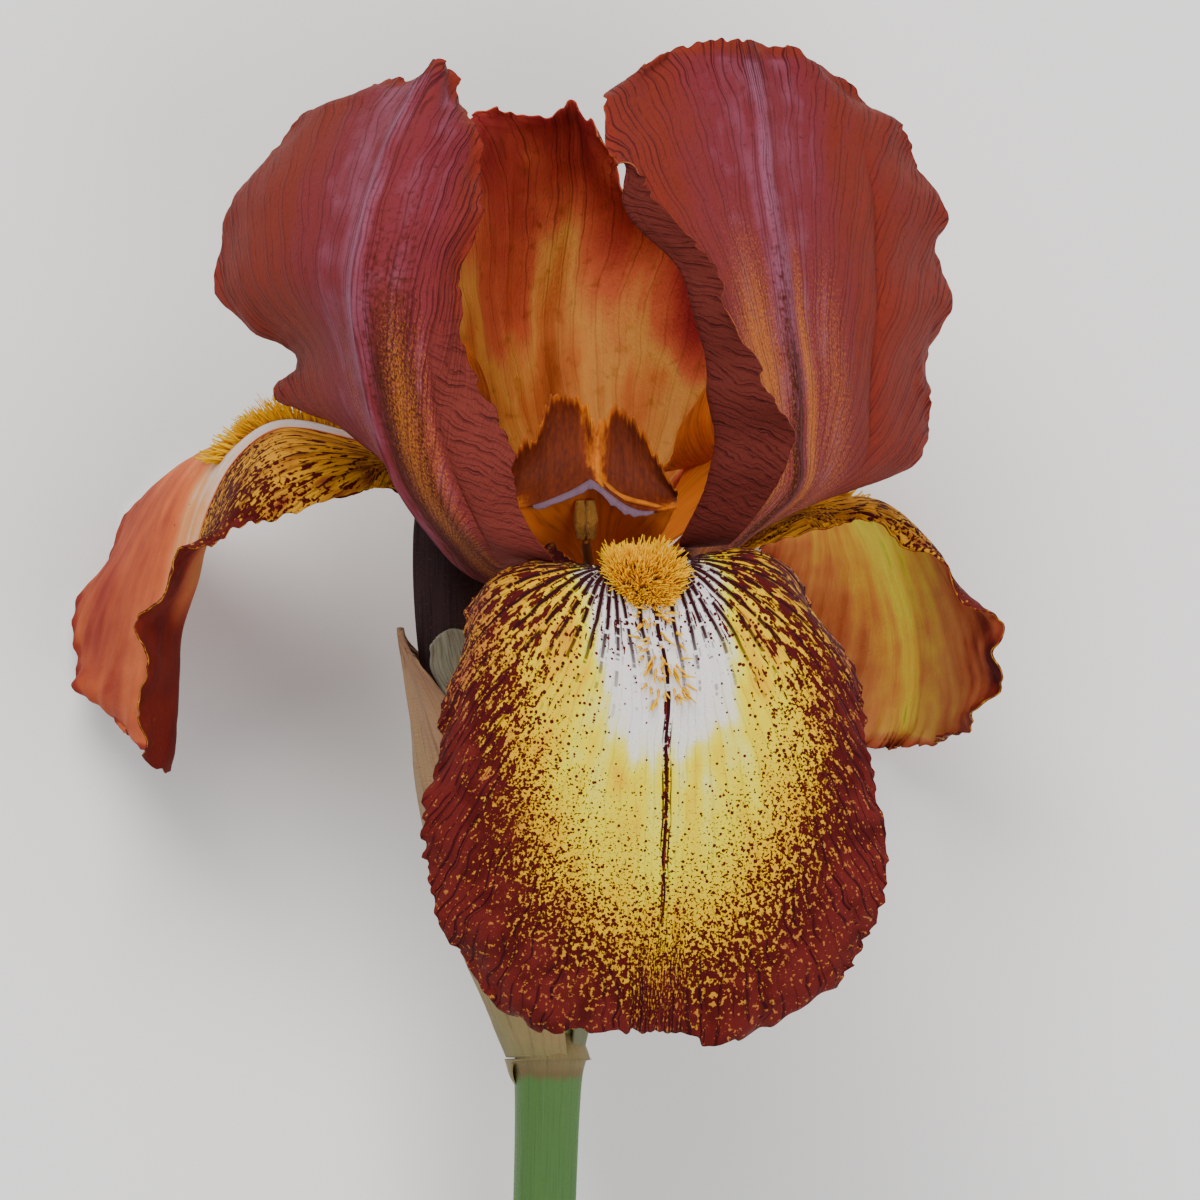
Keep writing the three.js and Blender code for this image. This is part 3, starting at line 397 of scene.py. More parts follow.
# Per petal: the net; its direction round the stem in degrees from the face towards the
# right; +1 when the net's first column is the claw's left side as seen from outside with
# the tip up; the sign of the net's normal on the side that faces up or inwards; the grid's
# cells across and along; the waves of its margins as depth in millimetres, number along
# each side and number across the tip; the fan of its veins as the place along the midrib
# where it starts, half width of the core in which the veins run side by side, their
# distance there and the angle between them outside it; and its ridges and creases as share
# across, height, half width and the span along the petal.
PETALS = {
    "fall_front": (FALL_FRONT, 10, 1, -1, (180, 230), (0.45, 8, 4), (33, 3.5, 2.0, 0.125), ()),
    "fall_left": (FALL_LEFT, -110, -1, 1, (130, 170), (0.8, 7, 3), (33, 3, 1.6, 0.125),
                  [(0.5, 0.7, 1.4, 0.2, 1.0)]),
    "fall_right": (FALL_RIGHT, 130, 1, -1, (130, 170), (0.9, 7, 3), (30, 3, 1.6, 0.125), ()),
    "standard_left": (STANDARD_LEFT, -50, 1, -1, (150, 180), (0.7, 7, 2), (24, 2, 1.7, 0.08),
                      [(0.5, 1.1, 1.6, 0.15, 1.05), (0.82, -0.9, 1.2, 0.2, 0.6)]),
    "standard_right": (STANDARD_RIGHT, 70, 1, -1, (170, 190), (0.9, 8, 3), (24, 2, 1.7, 0.08),
                       [(0.5, 0.5, 1.2, 0.15, 0.95), (0.76, -1.1, 1.6, 0.35, 0.85)]),
    "standard_back": (STANDARD_BACK, -170, -1, 1, (130, 160), (0.8, 6, 3), (10, 2, 1.9, 0.08),
                      [(0.5, -0.5, 1.2, 0.1, 1.0), (0.3, 0.5, 2.0, 0.2, 0.9)]),
}
RUFFLE_START = 0.22
RUFFLE_FULL = 0.5
RUFFLE_SHIFT = 1.9

ACROSS = (-1, -0.67, -0.33, 0, 0.33, 0.67, 1)
CLAW_RADIUS = 5.2
CLAW_BASE_Y = -3.5
# Radius, height and half width of the claw's two rows.
CLAW_STATIONS = ((CLAW_RADIUS, CLAW_BASE_Y, 2.4), (6.8, 0.2, 2.7))
CLAW_EDGE_LIFT = 0.4

PETAL_THICKNESS = 0.5
MARGIN_THICKNESS = 0.22
THINNING_WIDTH = 2.5
# Fine crinkles and the torn look of the margin, in millimetres.
CRINKLE_DEPTH = 0.5
CRINKLE_LENGTH = 3.4
CRINKLE_REACH = 4.5
PUCKER_DEPTH = 0.16
PUCKER_LENGTH = 1.3
NOTCH_DEPTH = 0.6
NOTCH_LENGTH = 0.9
NOTCH_REACH = 1.2
NOTCH_FARTHEST = 9
# How far apart the notches of the two sides are read, so that they differ.
SIDE_APART = 40
TEAR_START = 0.28
TEAR_FULL = 0.48
VEIN_RELIEF = 0.03
FALL_PLEATS = 0.22
STANDARD_PLEATS = 0.06
PLEAT_REACH = 4.5
FOLD_FADE = 0.12
FAN_AHEAD = 1.2


def claw_rows(azimuth, claw_side):
    """The two rows of the claw, where a petal stands on the rim of the perianth tube."""
    angle = math.radians(azimuth)
    out = np.array([math.sin(angle), 0, math.cos(angle)])
    side = np.array([math.cos(angle), 0, -math.sin(angle)]) * claw_side
    rows = []
    for radius, height, half_width in CLAW_STATIONS:
        rows.append([
            out * radius + side * share * half_width
            + np.array([0, height + CLAW_EDGE_LIFT * share * share, 0])
            for share in ACROSS
        ])
    return rows


def ruffle(waves, u, v):
    """Waves along the side margins and across the tip."""
    depth, sides, tip = waves
    edge = np.abs(2 * u - 1)
    shift = np.where(u < 0.5, 0, RUFFLE_SHIFT)
    grown = smoothstep(v, RUFFLE_START, RUFFLE_FULL)
    along_side = edge ** 3 * np.sin(2 * np.pi * sides * v + shift)
    across_tip = v ** 8 * (1 - edge ** 2) * np.sin(2 * np.pi * tip * u)
    return depth * grown * (along_side + across_tip)


class Petal:
    """A petal's middle sheet with its flat coordinates, in millimetres.

    a runs across from the midrib, b along it from the claw, and margin is the distance
    to the nearest edge.
    """

    def __init__(self, name):
        self.name = name
        (net, azimuth, claw_side, self.upper_side, cells, waves, self.fan,
         self.folds) = PETALS[name]
        self.columns, self.rows = cells
        net = np.concatenate([claw_rows(azimuth, claw_side), net])
        base, self.u, self.v = grid_surface(net, cells)
        self.measure(base)
        normals = grid_normals(base)
        shaped = base + normals * ruffle(waves, self.u, self.v)[..., None]
        self.points = self.crinkle(shaped, normals)
        self.normals = grid_normals(self.points)

    def measure(self, base):
        """Distances on the sheet from the midrib, the claw and the nearest edge."""
        steps = np.linalg.norm(np.diff(base, axis=1), axis=2)
        width = np.concatenate([np.zeros((len(base), 1)), np.cumsum(steps, axis=1)], axis=1)
        centre = self.columns // 2
        self.a = width - width[:, [centre]]
        climb = np.linalg.norm(np.diff(base, axis=0), axis=2)
        length = np.concatenate([[0], np.cumsum(climb[:, centre])])
        self.b = np.repeat(length[:, None], self.columns + 1, axis=1)
        reach = np.concatenate([np.zeros((1, climb.shape[1])), np.cumsum(climb, axis=0)])
        to_tip = reach[-1][None, :] - reach
        to_side = np.minimum(width, width[:, -1:] - width)
        self.margin = np.minimum(to_side, to_tip)
        self.length = length[-1]

    def crinkle(self, points, normals):
        """Crinkles, puckers and small notches that grow towards the margin."""
        seed = sum(ord(letter) for letter in self.name)
        grown = smoothstep(self.v, RUFFLE_START, RUFFLE_FULL)
        torn = smoothstep(self.v, TEAR_START, TEAR_FULL)
        near = np.exp(-self.margin / CRINKLE_REACH) * grown
        waves = lattice_noise(self.a / CRINKLE_LENGTH, self.b / CRINKLE_LENGTH, seed)
        puckers = lattice_noise(self.a / PUCKER_LENGTH, self.b / PUCKER_LENGTH, seed + 1)
        lift = CRINKLE_DEPTH * near * waves + PUCKER_DEPTH * near * puckers
        lift += self.relief()
        across = unit(np.gradient(points, axis=1)) * np.sign(self.u - 0.5)[..., None]
        along = unit(np.gradient(points, axis=0))
        to_side = np.minimum(self.a - self.a[:, :1], self.a[:, -1:] - self.a)
        to_tip = self.length - self.b
        side_share = np.exp(-np.minimum(to_side, NOTCH_FARTHEST) / NOTCH_REACH)
        tip_share = np.exp(-np.minimum(to_tip, NOTCH_FARTHEST) / NOTCH_REACH)
        place = self.b + SIDE_APART * (self.u > 0.5)
        notch = lattice_noise(place / NOTCH_LENGTH, self.b * 0 + 3.3, seed + 2)
        tip_notch = lattice_noise(self.a / NOTCH_LENGTH, self.a * 0 + 7.7, seed + 3)
        shaped = points + normals * lift[..., None]
        shaped += across * (NOTCH_DEPTH * notch * side_share * torn)[..., None]
        shaped += along * (NOTCH_DEPTH * tip_notch * tip_share * torn)[..., None]
        return shaped

    def relief(self):
        """Low ridges along the veins, pleats at the margin, a keel and a crease."""
        fan, _, _ = fan_coordinates(self)
        lift = VEIN_RELIEF * np.cos(2 * np.pi * fan) * smoothstep(self.margin, 0, 2)
        pleats = FALL_PLEATS if self.name.startswith("fall") else STANDARD_PLEATS
        lift += pleats * np.cos(4 * np.pi * fan) * np.exp(-self.margin / PLEAT_REACH)
        for share, depth, half, start, end in self.folds:
            column = int(round(share * self.columns))
            away = np.abs(self.a - self.a[:, [column]])
            shown = smoothstep(self.v, start, start + FOLD_FADE)
            shown = shown * (1 - smoothstep(self.v, end - FOLD_FADE, end))
            lift += depth * np.exp(-away / half) * shown
        return lift

    def build(self, upper, lower, upper_zone, lower_zone, upper_trim, lower_trim, slot):
        """The closed petal, each face with a material, a zone map and a trim map."""
        edge = smoothstep(self.margin, 0, THINNING_WIDTH)
        thickness = MARGIN_THICKNESS + (PETAL_THICKNESS - MARGIN_THICKNESS) * edge
        points, faces = shell(self.points, self.normals, thickness)
        piece = make_object(self.name + "_petal", points, faces, self.name, slot, upper)
        piece.data.materials.append(lower)
        # The sheet's first side is the upper face of some petals and the lower of others.
        order = self.upper_side
        quads = self.columns * self.rows
        index = np.zeros(len(faces), dtype=np.int32)
        index[:quads], index[quads:2 * quads] = (0, 1)[::order]
        piece.data.polygons.foreach_set("material_index", index)
        flat = stack(self.a, self.b, self.margin)
        veins = stack(*fan_coordinates(self))
        maps = {
            "zone": (upper_zone, lower_zone), "flat": (flat, flat), "veins": (veins, veins),
            "trim": (upper_trim, lower_trim),
        }
        for key, sides in maps.items():
            set_vector(piece, key, np.concatenate(sides[::order]))


def fan_coordinates(petal):
    """Number of veins from the midrib, and distance from where they spread."""
    focus, core, pitch, step = petal.fan
    along = petal.b - focus
    beside = np.maximum(np.abs(petal.a) - core, 0)
    ahead = np.maximum(along, 0) + FAN_AHEAD
    angle = np.arctan2(beside, ahead)
    fan = np.clip(petal.a, -core, core) / pitch + np.sign(petal.a) * angle / step
    gap = np.where(beside > 0, np.hypot(beside, ahead) * step, pitch)
    return fan, np.hypot(beside, along), gap


# ---------------------------------------------------------------- materials


class Shader:
    """Short calls for building a node tree."""

    def __init__(self, name):
        self.material = bpy.data.materials.new(name)
        self.material.use_nodes = True
        self.tree = self.material.node_tree
        self.tree.nodes.clear()
        self.output = self.node("ShaderNodeOutputMaterial")

    def node(self, kind, **settings):
        made = self.tree.nodes.new(kind)
        for key, value in settings.items():
            setattr(made, key, value)
        return made

    def feed(self, socket, value):
        """Link or set a socket; a tuple is a screen colour."""
        if isinstance(value, bpy.types.NodeSocket):
            self.tree.links.new(value, socket)
        elif value is not None:
            socket.default_value = linear(value) if isinstance(value, tuple) else value

    def attribute(self, name):
        """The three numbers kept under a name on the mesh."""
        made = self.node("ShaderNodeAttribute", attribute_name=name)
        return self.split(made.outputs["Vector"])

    def split(self, vector):
        made = self.node("ShaderNodeSeparateXYZ")
        self.feed(made.inputs[0], vector)
        return tuple(made.outputs)

    def math(self, operation, *values, clamp=False):
        made = self.node("ShaderNodeMath", operation=operation, use_clamp=clamp)
        for socket, value in zip(made.inputs, values):
            self.feed(socket, value)
        return made.outputs[0]

    def times(self, a, b, clamp=False):
        return self.math("MULTIPLY", a, b, clamp=clamp)

    def times_plus(self, a, b, c):
        return self.math("MULTIPLY_ADD", a, b, c)

    def minus(self, a, b):
        return self.math("SUBTRACT", a, b)

    def join(self, x, y):
        """A place on a plane."""
        made = self.node("ShaderNodeCombineXYZ")
        self.feed(made.inputs[0], x)
        self.feed(made.inputs[1], y)
        return made.outputs[0]

    def stretched(self, x, across, y, along):
        """A place on a plane with both directions scaled."""
        return self.join(self.times(x, across), self.times(y, along))

    def noise(self, vector, scale, detail, roughness=0.5, distortion=0.0):
        made = self.node("ShaderNodeTexNoise")
        self.feed(made.inputs["Vector"], vector)
        keys = ("Scale", "Detail", "Roughness", "Distortion")
        for key, value in zip(keys, (scale, detail, roughness, distortion)):
            made.inputs[key].default_value = value
        return made.outputs["Fac"]

    def span(self, value, low, high, to_low=0.0, to_high=1.0, smooth=False):
        """A value's place between two others, taken over to a second pair."""
        kind = "SMOOTHSTEP" if smooth else "LINEAR"
        made = self.node("ShaderNodeMapRange", interpolation_type=kind)
        keys = ("Value", "From Min", "From Max", "To Min", "To Max")
        for key, item in zip(keys, (value, low, high, to_low, to_high)):
            self.feed(made.inputs[key], item)
        return made.outputs[0]

    def ramp(self, value, stops):
        """Colours along a scale, each stop a place from 0 to 1 with a screen colour."""
        made = self.node("ShaderNodeValToRGB")
        self.feed(made.inputs[0], value)
        elements = made.color_ramp.elements
        while len(elements) < len(stops):
            elements.new(0.5)
        for element, (place, colour) in zip(elements, stops):
            element.position = place
            element.color = linear(colour)
        return made.outputs["Color"]

    def blend(self, share, first, second):
        """A number between two by share."""
        made = self.node("ShaderNodeMix", data_type="FLOAT")
        for socket, value in zip((0, 2, 3), (share, first, second)):
            self.feed(made.inputs[socket], value)
        return made.outputs[0]

    def mix(self, share, first, second):
        """A colour between two by share."""
        made = self.node("ShaderNodeMix", data_type="RGBA")
        self.feed(made.inputs[0], share)
        for socket, value in zip((6, 7), (first, second)):
            self.feed(made.inputs[socket], value)
        return made.outputs[2]

    def bump(self, height, strength, distance):
        made = self.node("ShaderNodeBump")
        made.inputs["Strength"].default_value = strength
        made.inputs["Distance"].default_value = distance
        self.feed(made.inputs["Height"], height)
        return made.outputs[0]

    def finish(self, colour, roughness, normal=None, sheen=0.0, glow_share=0.0, specular=0.35):
        """A soft living surface, with some of the light behind it shining through."""
        surface = self.node("ShaderNodeBsdfPrincipled")
        self.feed(surface.inputs["Base Color"], colour)
        self.feed(surface.inputs["Roughness"], roughness)
        surface.inputs["Specular IOR Level"].default_value = specular
        surface.inputs["Sheen Weight"].default_value = sheen
        surface.inputs["Sheen Roughness"].default_value = 0.5
        self.feed(surface.inputs["Normal"], normal)
        shader = surface.outputs[0]
        if glow_share:
            through = self.node("ShaderNodeBsdfTranslucent")
            self.feed(through.inputs["Color"], colour)
            both = self.node("ShaderNodeMixShader")
            both.inputs[0].default_value = glow_share
            self.feed(both.inputs[1], shader)
            self.feed(both.inputs[2], through.outputs[0])
            shader = both.outputs[0]
        self.feed(self.output.inputs["Surface"], shader)
        return self.material


def linear(colour):
    """Linear light from a screen colour of three whole numbers up to 255."""
    shares = [c / 255 for c in colour]
    light = [s / 12.92 if s <= 0.04045 else ((s + 0.055) / 1.055) ** 2.4 for s in shares]
    return (*light, 1.0)


def dark_lines(s, fan, pitch, width):
    """Lines of one width in millimetres along the whole numbers of a fan."""
    offset = s.math("ABSOLUTE", s.minus(s.math("FRACT", fan), 0.5))
    distance = s.times(s.minus(0.5, offset), pitch)
    return s.span(distance, width, width * 0.35, smooth=True)


def marked(s, density, fan, ray, flat, dots, bold_reach, levels, softness):
    """Share of the dark marks: bold streaks near the beard, then fine dots that close up."""
    near = s.noise(s.stretched(fan, 3.3, ray, 0.36), 1.0, 2.0, 0.5, 0.35)
    middle = s.noise(s.stretched(fan, 5.2, ray, 0.5), 1.0, 2.0, 0.5, 0.35)
    outer = s.noise(s.stretched(fan, 11.0, ray, 1.2), 1.0, 2.0)
    streaks = s.blend(s.span(ray, 0.35 * bold_reach, 0.8 * bold_reach), near, middle)
    streaks = s.blend(s.span(ray, 0.8 * bold_reach, 1.5 * bold_reach), streaks, outer)
    spots = s.noise(flat, dots, 1.5, 0.5, 0.4)
    bold = s.span(ray, 0.6 * bold_reach, bold_reach, 0.9, 0.0)
    share = s.math("MAXIMUM", bold, s.span(density, 0.3, 0.8, 0.1, 0.72))
    level = s.span(density, -0.3, 1.0, *levels)
    over = s.minus(s.blend(share, spots, streaks), level)
    return s.span(over, -softness, softness, smooth=True)


def round_dots(s, flat, density, pitch):
    """Share of round dots, more and larger where the marks lie closer."""
    cells = s.node("ShaderNodeTexVoronoi")
    s.feed(cells.inputs["Vector"], flat)
    s.feed(cells.inputs["Scale"], pitch)
    pick, size, _ = s.split(cells.outputs["Color"])
    shown = s.span(s.minus(s.span(density, -0.25, 0.36), pick), 0.0, 0.03)
    radius = s.times(s.span(density, -0.2, 0.6, 0.22, 0.44), s.span(size, 0.0, 1.0, 0.55, 1.0))
    inside = s.span(s.minus(radius, cells.outputs["Distance"]), 0.0, 0.05)
    return s.times(shown, inside)


def vein_lines(s, wavy, fan, ray, pitch, margin, strength, width, fine_veins, dashes):
    """Share of the veins: main ones, bold near the beard, and finer ones between them."""
    bold = s.span(ray, 6.0, 28.0, 1 + 1.4 * dashes, 1.0)
    main = dark_lines(s, wavy, s.math("DIVIDE", pitch, bold), width)
    second = dark_lines(s, s.times_plus(wavy, 2.0, 0.4), s.times(pitch, 0.5), width * 0.7)
    third = dark_lines(s, s.times_plus(wavy, 4.0, 0.7), s.times(pitch, 0.25), width * 0.6)
    breaks = s.noise(s.join(fan, s.times(ray, 0.22)), 1.0, 2.0, 0.6)
    spaced = s.noise(s.join(s.math("FLOOR", s.times_plus(wavy, 2.0, 0.9)), ray), 1.1, 1.0)
    dotted = s.times(s.span(spaced, 0.5, 0.54), s.span(ray, 10.0, 17.0, dashes, 0.0))
    far = s.span(ray, 14.0, 24.0, 0.0, fine_veins)
    second = s.times(second, s.math("MAXIMUM", dotted, far))
    third = s.times(third, s.span(margin, 14.0, 2.0, 0.0, fine_veins))
    between = s.times(s.math("MAXIMUM", second, third), s.span(breaks, 0.35, 0.5))
    if dashes:
        steps = s.noise(s.join(s.math("FLOOR", s.math("ADD", wavy, 0.5)), ray), 0.5, 2.0, 0.6)
        gaps = s.span(s.minus(steps, s.span(strength, 0.0, 1.0, 0.66, 0.4)), 0.0, 0.03)
        solid = s.times(main, s.span(gaps, 0.0, 1.0, 1 - dashes, 1.0))
    else:
        solid = s.times(main, s.span(breaks, 0.25, 0.5, 0.45, 1.0))
    return s.times(s.math("MAXIMUM", solid, between), strength, clamp=True)


def strip_lines(s, flat, across, along):
    """Share of the fine lines that run across the curled strip of a standard."""
    slope = s.times(s.math("ABSOLUTE", across), 0.5)
    waves = s.times(s.noise(flat, 0.2, 3.0), 2.4)
    ripple = s.times_plus(s.math("ADD", along, slope), 0.62, waves)
    fine = dark_lines(s, s.times_plus(ripple, 2.0, 0.3), 0.8, 0.09)
    cross = s.math("MAXIMUM", dark_lines(s, ripple, 1.6, 0.13), s.times(fine, 0.6))
    breaks = s.noise(s.join(s.times(across, 0.3), along), 0.9, 2.0)
    return s.times(cross, s.span(breaks, 0.36, 0.56, 0.12, 0.75))


def petal_material(name, ground, marks, vein_colour, dots, flow, bold_reach=22.0,
                   softness=0.02, levels=(0.74, 0.4), vein_width=0.16, fine_veins=0.4,
                   dashes=0.0, glow_share=0.25, shimmer=0.1, gold=None, strip=None,
                   dot_pitch=0.0):
    """A petal face: ground colours, dots and streaks of a darker colour, and veins.

    The zone map gives the place on the ground scale, how densely the marks lie and how
    strong the veins are. The trim map gives the shares of the curled strip and of the
    golden speckles, and how far the ground colours flow into each other.
    """
    s = Shader(name)
    place, density, strength = s.attribute("zone")
    across, along, margin = s.attribute("flat")
    fan, ray, pitch = s.attribute("veins")
    strip_share, gold_share, flow_share = s.attribute("trim")
    flat = s.join(across, along)
    fine = s.noise(flat, 7.0, 3.0)
    broad = s.noise(flat, 0.2, 2.0)
    waver = s.minus(s.noise(flat, 0.11, 2.0), 0.5)
    wavy = s.times_plus(waver, 0.8, fan)
    rays = s.noise(s.stretched(fan, 1.3, ray, 0.05), 1.0, 3.0)
    drift = s.times_plus(broad, 0.6, s.minus(rays, 0.8))
    drift = s.times_plus(drift, s.times(flow_share, flow), place)
    mark = marked(s, density, fan, ray, flat, dots, bold_reach, levels, softness)
    if dot_pitch:
        mark = s.math("MAXIMUM", mark, round_dots(s, flat, density, dot_pitch))
    vein = vein_lines(s, wavy, fan, ray, pitch, margin, strength, vein_width, fine_veins, dashes)

    mark_tone = s.times_plus(s.minus(broad, 0.5), 0.8, density)
    coloured = s.mix(mark, s.ramp(drift, ground), s.ramp(mark_tone, marks))
    if gold:
        flecks = s.noise(s.stretched(across, 4.6, along, 2.4), 1.0, 4.0, 0.7)
        cover = s.span(s.times_plus(gold_share, 0.3, flecks), 0.58, 0.84)
        shown = s.times(cover, s.span(gold_share, 0.0, 0.3, 0.0, 0.85))
        coloured = s.mix(shown, coloured, gold)
    coloured = s.mix(vein, coloured, vein_colour)
    relief = s.times(vein, -0.6)
    if strip:
        colour, darker, line_colour = strip
        cross = strip_lines(s, flat, across, along)
        toned = s.mix(s.span(fine, 0.3, 0.7), colour, darker)
        coloured = s.mix(strip_share, coloured, s.mix(cross, toned, line_colour))
        relief = s.times_plus(s.times(cross, strip_share), -1.0, relief)
    shaded = s.node("ShaderNodeVectorMath", operation="SCALE")
    s.feed(shaded.inputs[0], coloured)
    s.feed(shaded.inputs[3], s.span(fine, 0.3, 0.7, 1 - shimmer, 1 + shimmer))

    cells = s.noise(s.join(across, s.times(along, 0.5)), 3.2, 4.0, 0.6)
    ribs = s.math("COSINE", s.times(wavy, 4 * math.pi))
    height = s.times_plus(ribs, 0.08, s.math("ADD", cells, relief))
    height = s.times_plus(mark, -0.12, height)
    normal = s.bump(height, 0.6, 0.0004)
    rough = s.span(fine, 0.3, 0.7, 0.42, 0.6)
    return s.finish(shaded.outputs[0], rough, normal, 0.01, glow_share, 0.07)


FALL_GROUND = [
    (0.0, (246, 242, 248)), (0.24, (246, 242, 226)), (0.4, (244, 238, 110)),
    (0.56, (248, 230, 6)), (0.78, (242, 188, 0)), (1.0, (192, 112, 56)),
]
FALL_MARKS = [(0.0, (92, 20, 24)), (0.5, (84, 16, 18)), (0.85, (88, 20, 18)), (1.0, (112, 34, 30))]
FALL_VEIN = (52, 8, 20)
UNDER_GROUND = [
    (0.0, (194, 206, 64)), (0.1, (244, 234, 80)), (0.3, (238, 200, 84)), (0.5, (220, 150, 84)),
    (0.74, (194, 98, 62)), (0.9, (130, 42, 30)), (1.0, (84, 20, 24)),
]
UNDER_MARKS = [(0.0, (200, 140, 40)), (0.5, (184, 96, 36)), (1.0, (110, 30, 16))]
LEFT_GROUND = [
    (0.0, (250, 246, 248)), (0.14, (246, 222, 200)), (0.28, (246, 178, 116)), (0.5, (234, 122, 70)),
    (0.72, (176, 66, 48)), (0.86, (136, 42, 36)), (1.0, (240, 172, 40)),
]
# The first stop, pale mauve, is painted highlight and sheen on the outside of the standards.
STANDARD_GROUND = [
    (0.0, (154, 94, 118)), (0.22, (124, 46, 54)), (0.45, (126, 46, 34)), (0.65, (140, 48, 34)),
]
STANDARD_MARKS = [(0.0, (86, 32, 26)), (0.6, (84, 32, 20)), (1.0, (72, 28, 16))]
# The two lowest stops are lighter than the petal's own amber, as painted glow of light shining into
# the shaded throat.
INSIDE_GROUND = [
    (0.0, (180, 104, 30)), (0.12, (218, 138, 48)), (0.34, (250, 186, 84)), (0.58, (236, 132, 76)),
    (0.8, (206, 72, 54)), (1.0, (170, 50, 42)),
]
BACK_GROUND = [
    (0.0, (124, 58, 22)), (0.2, (192, 100, 44)), (0.36, (234, 136, 66)), (0.5, (252, 184, 90)),
    (0.64, (238, 124, 78)), (0.82, (206, 84, 64)), (1.0, (168, 52, 54)),
]
INSIDE_MARKS = [(0.0, (150, 76, 20)), (1.0, (110, 30, 16))]
GOLD = (200, 120, 46)
# The curled strip's two tones and its lines.
STRIP = ((132, 56, 48), (108, 45, 39), (56, 16, 20))


# Zone and trim maps. Their numbers are millimetres on the petal, a across from the midrib
# and b along from the claw, shares v of its length, and places on the colour scales.


def no_trim(p):
    """No strip, no gold, and ground colours that flow freely."""
    return stack(p.a * 0, 0, 1)


def front_trim(p):
    """The ground colours flow into each other most round the white patch."""
    return stack(p.a * 0, 0, 0.3 + 0.55 * band(white_reach(p), 0.95, 0.5))


def white_reach(p):
    """How far out of the white throat patch of the front fall, 1 at its edge."""
    down = np.where(p.b < 43, (43 - p.b) / 16, (p.b - 43) / 15)
    return (np.abs(p.a / 9.6) ** 3 + down ** 3) ** (1 / 3)


def front_zone(p):
    """White throat patch, yellow round it, golden shoulders and a maroon margin."""
    white = 1 - smoothstep(white_reach(p), 0.62, 1.2)
    shoulder = smoothstep(np.abs(p.a), 6, 11) * (1 - smoothstep(p.b, 44, 58))
    low = 52
    reach = np.hypot(p.a / 28.5, np.where(p.b < low, (low - p.b) / 38, (p.b - low) / 46))
    place = 0.55 * (1 - white) + 0.24 * np.maximum(shoulder, smoothstep(reach, 0.35, 0.7))
    place = place + 0.2 * smoothstep(reach, 0.6, 0.95)
    density = smoothstep(reach, 0.05, 1.05) - 0.3 * white
    density = density + shoulder * (1 - white) * np.where(p.a > 0, 0.16, 0.06)
    density = np.minimum(density, 1 - np.where(p.a > 0, 0.2, 0.34) * shoulder)
    density = density + 0.4 * white * (1 - smoothstep(p.b, 42, 62))
    line = band(p.a, 0, 0.5) * smoothstep(p.b, 46, 52) * (1 - smoothstep(p.b, 72, 92))
    density = np.maximum(density, 1.4 * line - 0.3)
    strength = np.maximum(1 - 0.8 * smoothstep(p.b, 42, 56), 0.9 * smoothstep(reach, 0.45, 0.8))
    strength = np.where(np.abs(p.a) < 0.7, 1.6 - smoothstep(p.b, 60, 88), strength)
    return stack(place, density, strength)


def under_zone(p):
    """Underside of a fall: a green midrib between yellow bands, red-brown to the margin."""
    half = np.abs(p.a[:, :1]) * (p.a < 0) + np.abs(p.a[:, -1:]) * (p.a >= 0)
    share = np.abs(p.a) / half
    lower = smoothstep(p.b, 36, 66)
    place = np.maximum(0.55 * share + 0.3 * lower * share ** 0.3 + 0.1 * lower,
                       0.84 - 0.84 * smoothstep(p.margin, 0, 5))
    return stack(place, -0.1, 0.12)


def left_zone(p):
    """Side fall from above: a white stripe, a mottled golden near side and a salmon far side."""
    far = np.maximum(p.a, 0)
    wide = smoothstep(p.b, 28, 50)
    near = smoothstep(-p.a - 0.7 - 0.6 * wide, 0.5, 0.9)
    white = 1 - smoothstep(p.b, 46, 66)
    tip = smoothstep(p.b, 46, 56)
    place = 0.28 - 0.26 * white + 0.3 * smoothstep(far - 1.6 * wide, 0.6, 6)
    place = place + 0.08 * smoothstep(far, 8, 22)
    place = np.maximum(place, 0.8 * (1 - smoothstep(p.margin, 0, 7)))
    place = place * (1 - near) + 0.98 * near
    rim = 1 - smoothstep(p.margin, 0, 1.5)
    density = 0.3 + 0.02 * np.maximum(-p.a, 0) + tip * (0.3 + 0.6 * rim) - 0.2 * (1 - tip) * rim
    return stack(place, density * near - 0.3 * (1 - near), 0.1 + 0.5 * near)


def left_under_zone(p):
    """Underside of the left fall, which darkens to maroon towards its tip."""
    zone = under_zone(p)
    dark = 0.94 - 0.36 * smoothstep(p.margin, 3, 8) * (1 - smoothstep(p.b, 66, 80))
    zone[..., 0] = np.maximum(zone[..., 0], dark)
    return zone


def calm_trim(p):
    """Ground colours that hardly flow into each other."""
    return stack(0 * p.a, 0, 0.2)


def outer_zone(p, stripe_at=0.0, broad=1.8, highlight_at=0.0, sheen_side=0.0, keel=0.42):
    """Standard's outside: a brown stripe low, painted sheen and keel highlight above, brick-red
    margins.
    """
    far = np.abs(p.a - stripe_at)
    high = smoothstep(p.v, 0.42, 0.85)
    # Painted light: a highlight along the keel and a broad sheen beside it, both in the first, pale
    # mauve ground colour.
    beside = p.a - highlight_at
    painted_sheen = keel * band(beside, 0, 1.1) + 0.24 * band(beside, sheen_side, 3.6)
    place = 0.22 + 0.25 * smoothstep(np.abs(p.a), 6, 18)
    place = place * (1 - painted_sheen * smoothstep(p.v, 0.25, 0.6))
    stripe = (1 - smoothstep(far / broad, 0.4, 1)) * (1 - high)
    place = np.maximum(place, 0.6 * (1 - smoothstep(p.margin, 0, 4)))
    return stack(place, 1.5 * stripe - 0.3, 0.5 + 0.4 * smoothstep(p.margin, 12, 2))


def left_outer_zone(p):
    """The left standard's outside, with its stripe right of the keel's painted highlight."""
    low = 1 - smoothstep(p.v, 0.12, 0.36)
    return outer_zone(p, 4.4 + 0.9 * low, 4.6 + 5 * low, -0.7, -3.4, 0.66)


